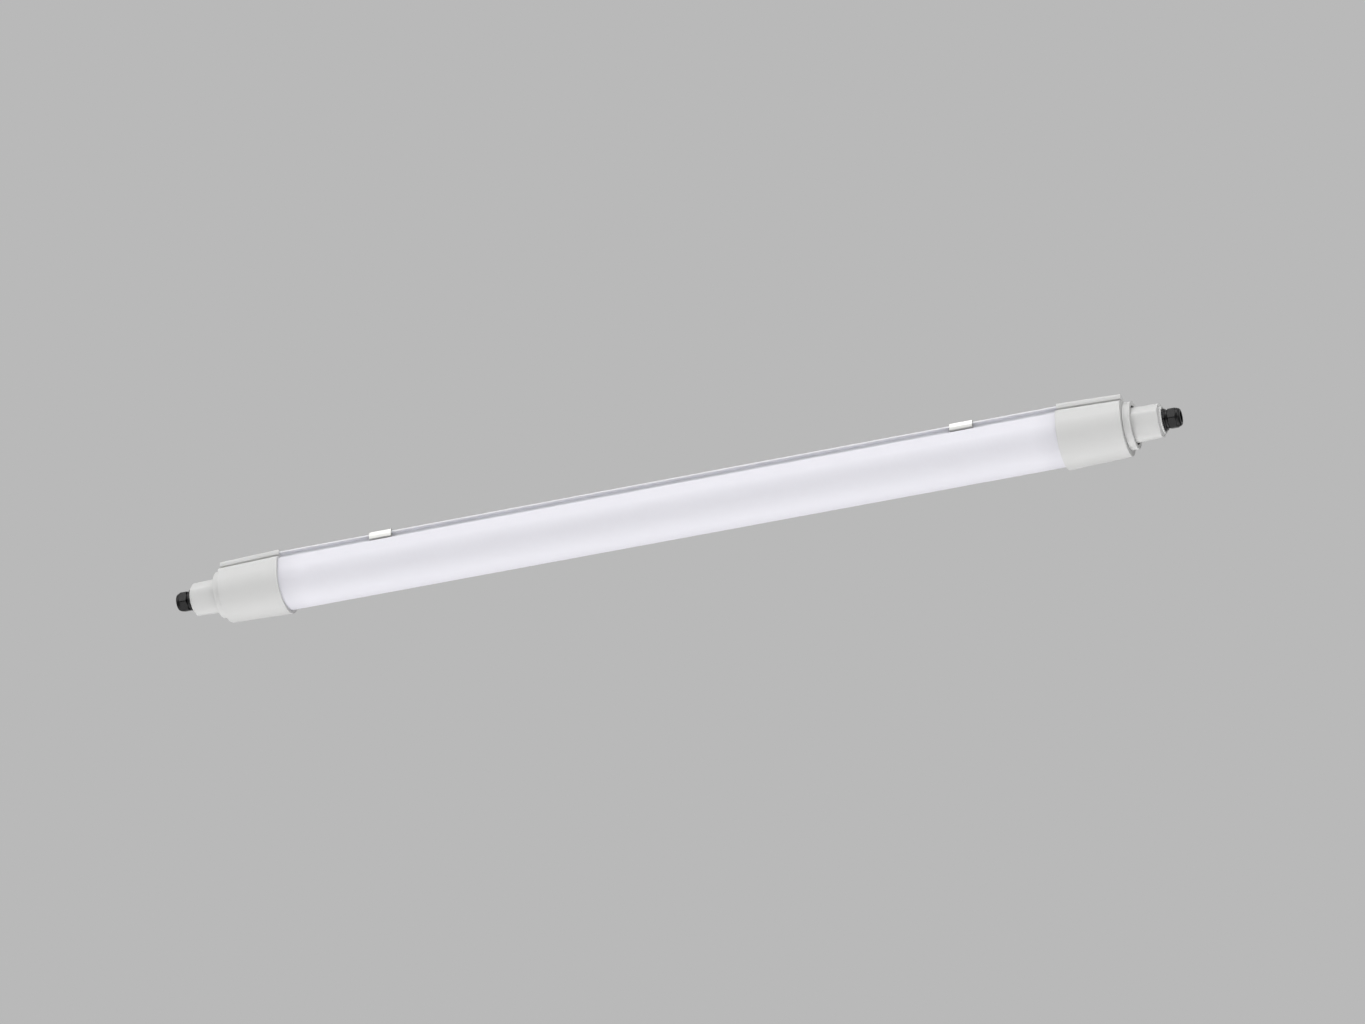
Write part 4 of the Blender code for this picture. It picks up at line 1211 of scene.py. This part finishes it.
def dress_inner_nodes(nodes: dict[str, Piece]) -> None:
    """Give each solid that still shows the finish of the first name that its own name holds.

    Args:
        nodes: the frame's solids by name.
    """
    for name, node in nodes.items():
        if node.hide_render:
            continue
        key = next(key for key in INNER_FINISHES if key in name)
        node.data.materials.clear()
        node.data.materials.append(INNER_FINISHES[key].material())
        LOG.info("%s: dressed in %s", name, INNER_FINISHES[key].name)


# The studio

@dataclass(frozen=True)
class Studio:
    """The camera that was fitted to the photograph, soft lamps, a pale floor and a plain background."""

    camera_place: tuple[float, float, float] = (2.0789, -6.1558, -4.3508)
    camera_forward: tuple[float, float, float] = (-0.26463, 0.78939, 0.55393)
    lens: float = 181.4
    sight: float = 200.0
    background: str = "B9B9B9"
    surround: tuple[tuple[str, float, float], ...] = (
        ("X", -1.0, 0.15), ("X", 1.0, 0.08), ("Y", -1.0, 0.05), ("Y", 1.0, 0.20), ("Z", 1.0, 0.60))
    floor_z: float = -10.0
    floor_half: float = 60.0
    floor_colour: str = "C8C8C8"
    floor_roughness: float = 0.9
    floor_lift: float = 0.27
    lamp_size: float = 5.0
    lamps: tuple[tuple[str, float, float, float, float], ...] = (
        ("high_softbox", -8.0, 50.0, 6.5, 0.45),
        ("right_softbox", 42.0, 12.0, 6.5, 0.37),
        ("left_softbox", -45.0, 15.0, 6.5, 0.27),
        ("low_front_softbox", 0.0, -65.0, 5.5, 0.37),
        ("low_back_softbox", 175.0, -62.0, 5.5, 0.41),
        ("low_left_softbox", -120.0, -60.0, 5.5, 0.21),
    )

    def camera(self) -> None:
        """The camera at the photograph's place, level; the frame's size, 1365 by 1024, is not set here."""
        data = bpy.data.cameras.new("photo_camera")
        data.lens = self.lens
        data.clip_end = self.sight
        camera = add_object("photo_camera", data)
        camera.location = self.camera_place
        camera.rotation_euler = Vector(self.camera_forward).to_track_quat("-Z", "Y").to_euler()
        bpy.context.scene.camera = camera

    def lights(self) -> None:
        """Square softboxes, each aimed at the middle of the light.

        A lamp stands at an azimuth, 0 towards -Y and growing towards +X, an elevation and a distance d.
        Its power is pi^2 d^2 times its level, at which a white face turned to it renders as that level.
        """
        for name, azimuth, elevation, distance, level in self.lamps:
            data = bpy.data.lights.new(name, "AREA")
            data.size = self.lamp_size
            data.energy = math.pi**2 * distance**2 * level
            lamp = add_object(name, data)
            lamp.location = (Matrix.Rotation(math.radians(azimuth), 3, "Z")
                             @ Matrix.Rotation(math.radians(-elevation), 3, "X") @ Vector((0, -distance, 0)))
            lamp.rotation_euler = (-lamp.location).to_track_quat("-Z", "Y").to_euler()

    def world(self) -> None:
        """A surround that lights the object, and the photograph's grey where it is seen.

        In a direction d of unit length its strength is the sum, over the listed sides, of the side's
        level times the square of d's share that way, so that it passes smoothly from side to side.
        """
        world = bpy.data.worlds.new("studio_surround")
        world.use_nodes = True
        bpy.context.scene.world = world
        tree = world.node_tree
        tree.nodes.clear()
        rays = add_node(tree, "ShaderNodeLightPath").outputs
        mirrored = add_node(tree, "ShaderNodeMath", {0: rays["Is Camera Ray"], 1: rays["Is Glossy Ray"]},
                            operation="ADD")
        seen = add_node(tree, "ShaderNodeMath", {0: mirrored.outputs[0], 1: rays["Is Transmission Ray"]},
                        operation="ADD", use_clamp=True)
        way = add_node(tree, "ShaderNodeTexCoord").outputs["Generated"]
        apart = add_node(tree, "ShaderNodeSeparateXYZ", {"Vector": way}).outputs
        strength: Socket | float = 0.0
        for axis, sign, level in self.surround:
            signed = add_node(tree, "ShaderNodeMath", {0: apart[axis], 1: sign}, operation="MULTIPLY")
            share = add_node(tree, "ShaderNodeMath", {0: signed.outputs[0], 1: 0.0}, operation="MAXIMUM")
            square = add_node(tree, "ShaderNodeMath", {0: share.outputs[0], 1: 2.0}, operation="POWER")
            strength = add_node(tree, "ShaderNodeMath", {0: square.outputs[0], 1: level, 2: strength},
                                operation="MULTIPLY_ADD").outputs[0]
        light = add_node(tree, "ShaderNodeBackground", {"Color": (1, 1, 1, 1), "Strength": strength})
        shown = add_node(tree, "ShaderNodeBackground", {"Color": srgb(self.background), "Strength": 1.0})
        mixed = add_node(tree, "ShaderNodeMixShader", {
            0: seen.outputs[0], 1: light.outputs[0], 2: shown.outputs[0]})
        add_node(tree, "ShaderNodeOutputWorld", {0: mixed.outputs[0]})

    def floor(self) -> None:
        """A wide pale floor far below, which seen directly gets the background's grey added to its shade."""
        h = self.floor_half
        mesh = bpy.data.meshes.new("studio_floor")
        corners = [(x, y, self.floor_z) for x, y in ((-h, -h), (h, -h), (h, h), (-h, h))]
        mesh.from_pydata(corners, [], [(0, 1, 2, 3)])
        floor = add_object("studio_floor", mesh)
        material = bpy.data.materials.new("painted_floor")
        material.use_nodes = True
        tree = material.node_tree
        shader = tree.nodes["Principled BSDF"].inputs
        shader["Base Color"].default_value = srgb(self.floor_colour)
        shader["Roughness"].default_value = self.floor_roughness
        shader["Emission Color"].default_value = (1, 1, 1, 1)
        rays = add_node(tree, "ShaderNodeLightPath").outputs
        lift = add_node(tree, "ShaderNodeMath", {0: rays["Is Camera Ray"], 1: self.floor_lift},
                        operation="MULTIPLY")
        tree.links.new(lift.outputs[0], shader["Emission Strength"])
        mesh.materials.append(material)

    def build(self) -> None:
        """Set up everything round the object."""
        self.camera()
        self.lights()
        self.world()
        self.floor()
        bpy.context.scene.view_settings.view_transform = "Standard"


def main() -> None:
    """Dress the whole light, then set up the studio."""
    logging.basicConfig(level=logging.INFO, format="%(name)s: %(message)s")
    for old in list(bpy.data.objects):
        bpy.data.objects.remove(old, do_unlink=True)
    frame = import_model()
    dress(Housing().build(), Slot.EXTRUSION, "lamp_body", "rear_housing")
    dress(Diffuser().build(), Slot.FROSTED, "lamp_body", "diffuser")
    for end in End:
        LampEnd(end).build()
    for side, middle_x in CLIP_PLACES.items():
        dress(CeilingClip(side, middle_x).build(), Slot.STEEL, f"{side}_clip", f"{side}_ceiling_clip")
    dress_inner_nodes(frame["nodes"])
    Studio().build()


if __name__ == "__main__":
    main()
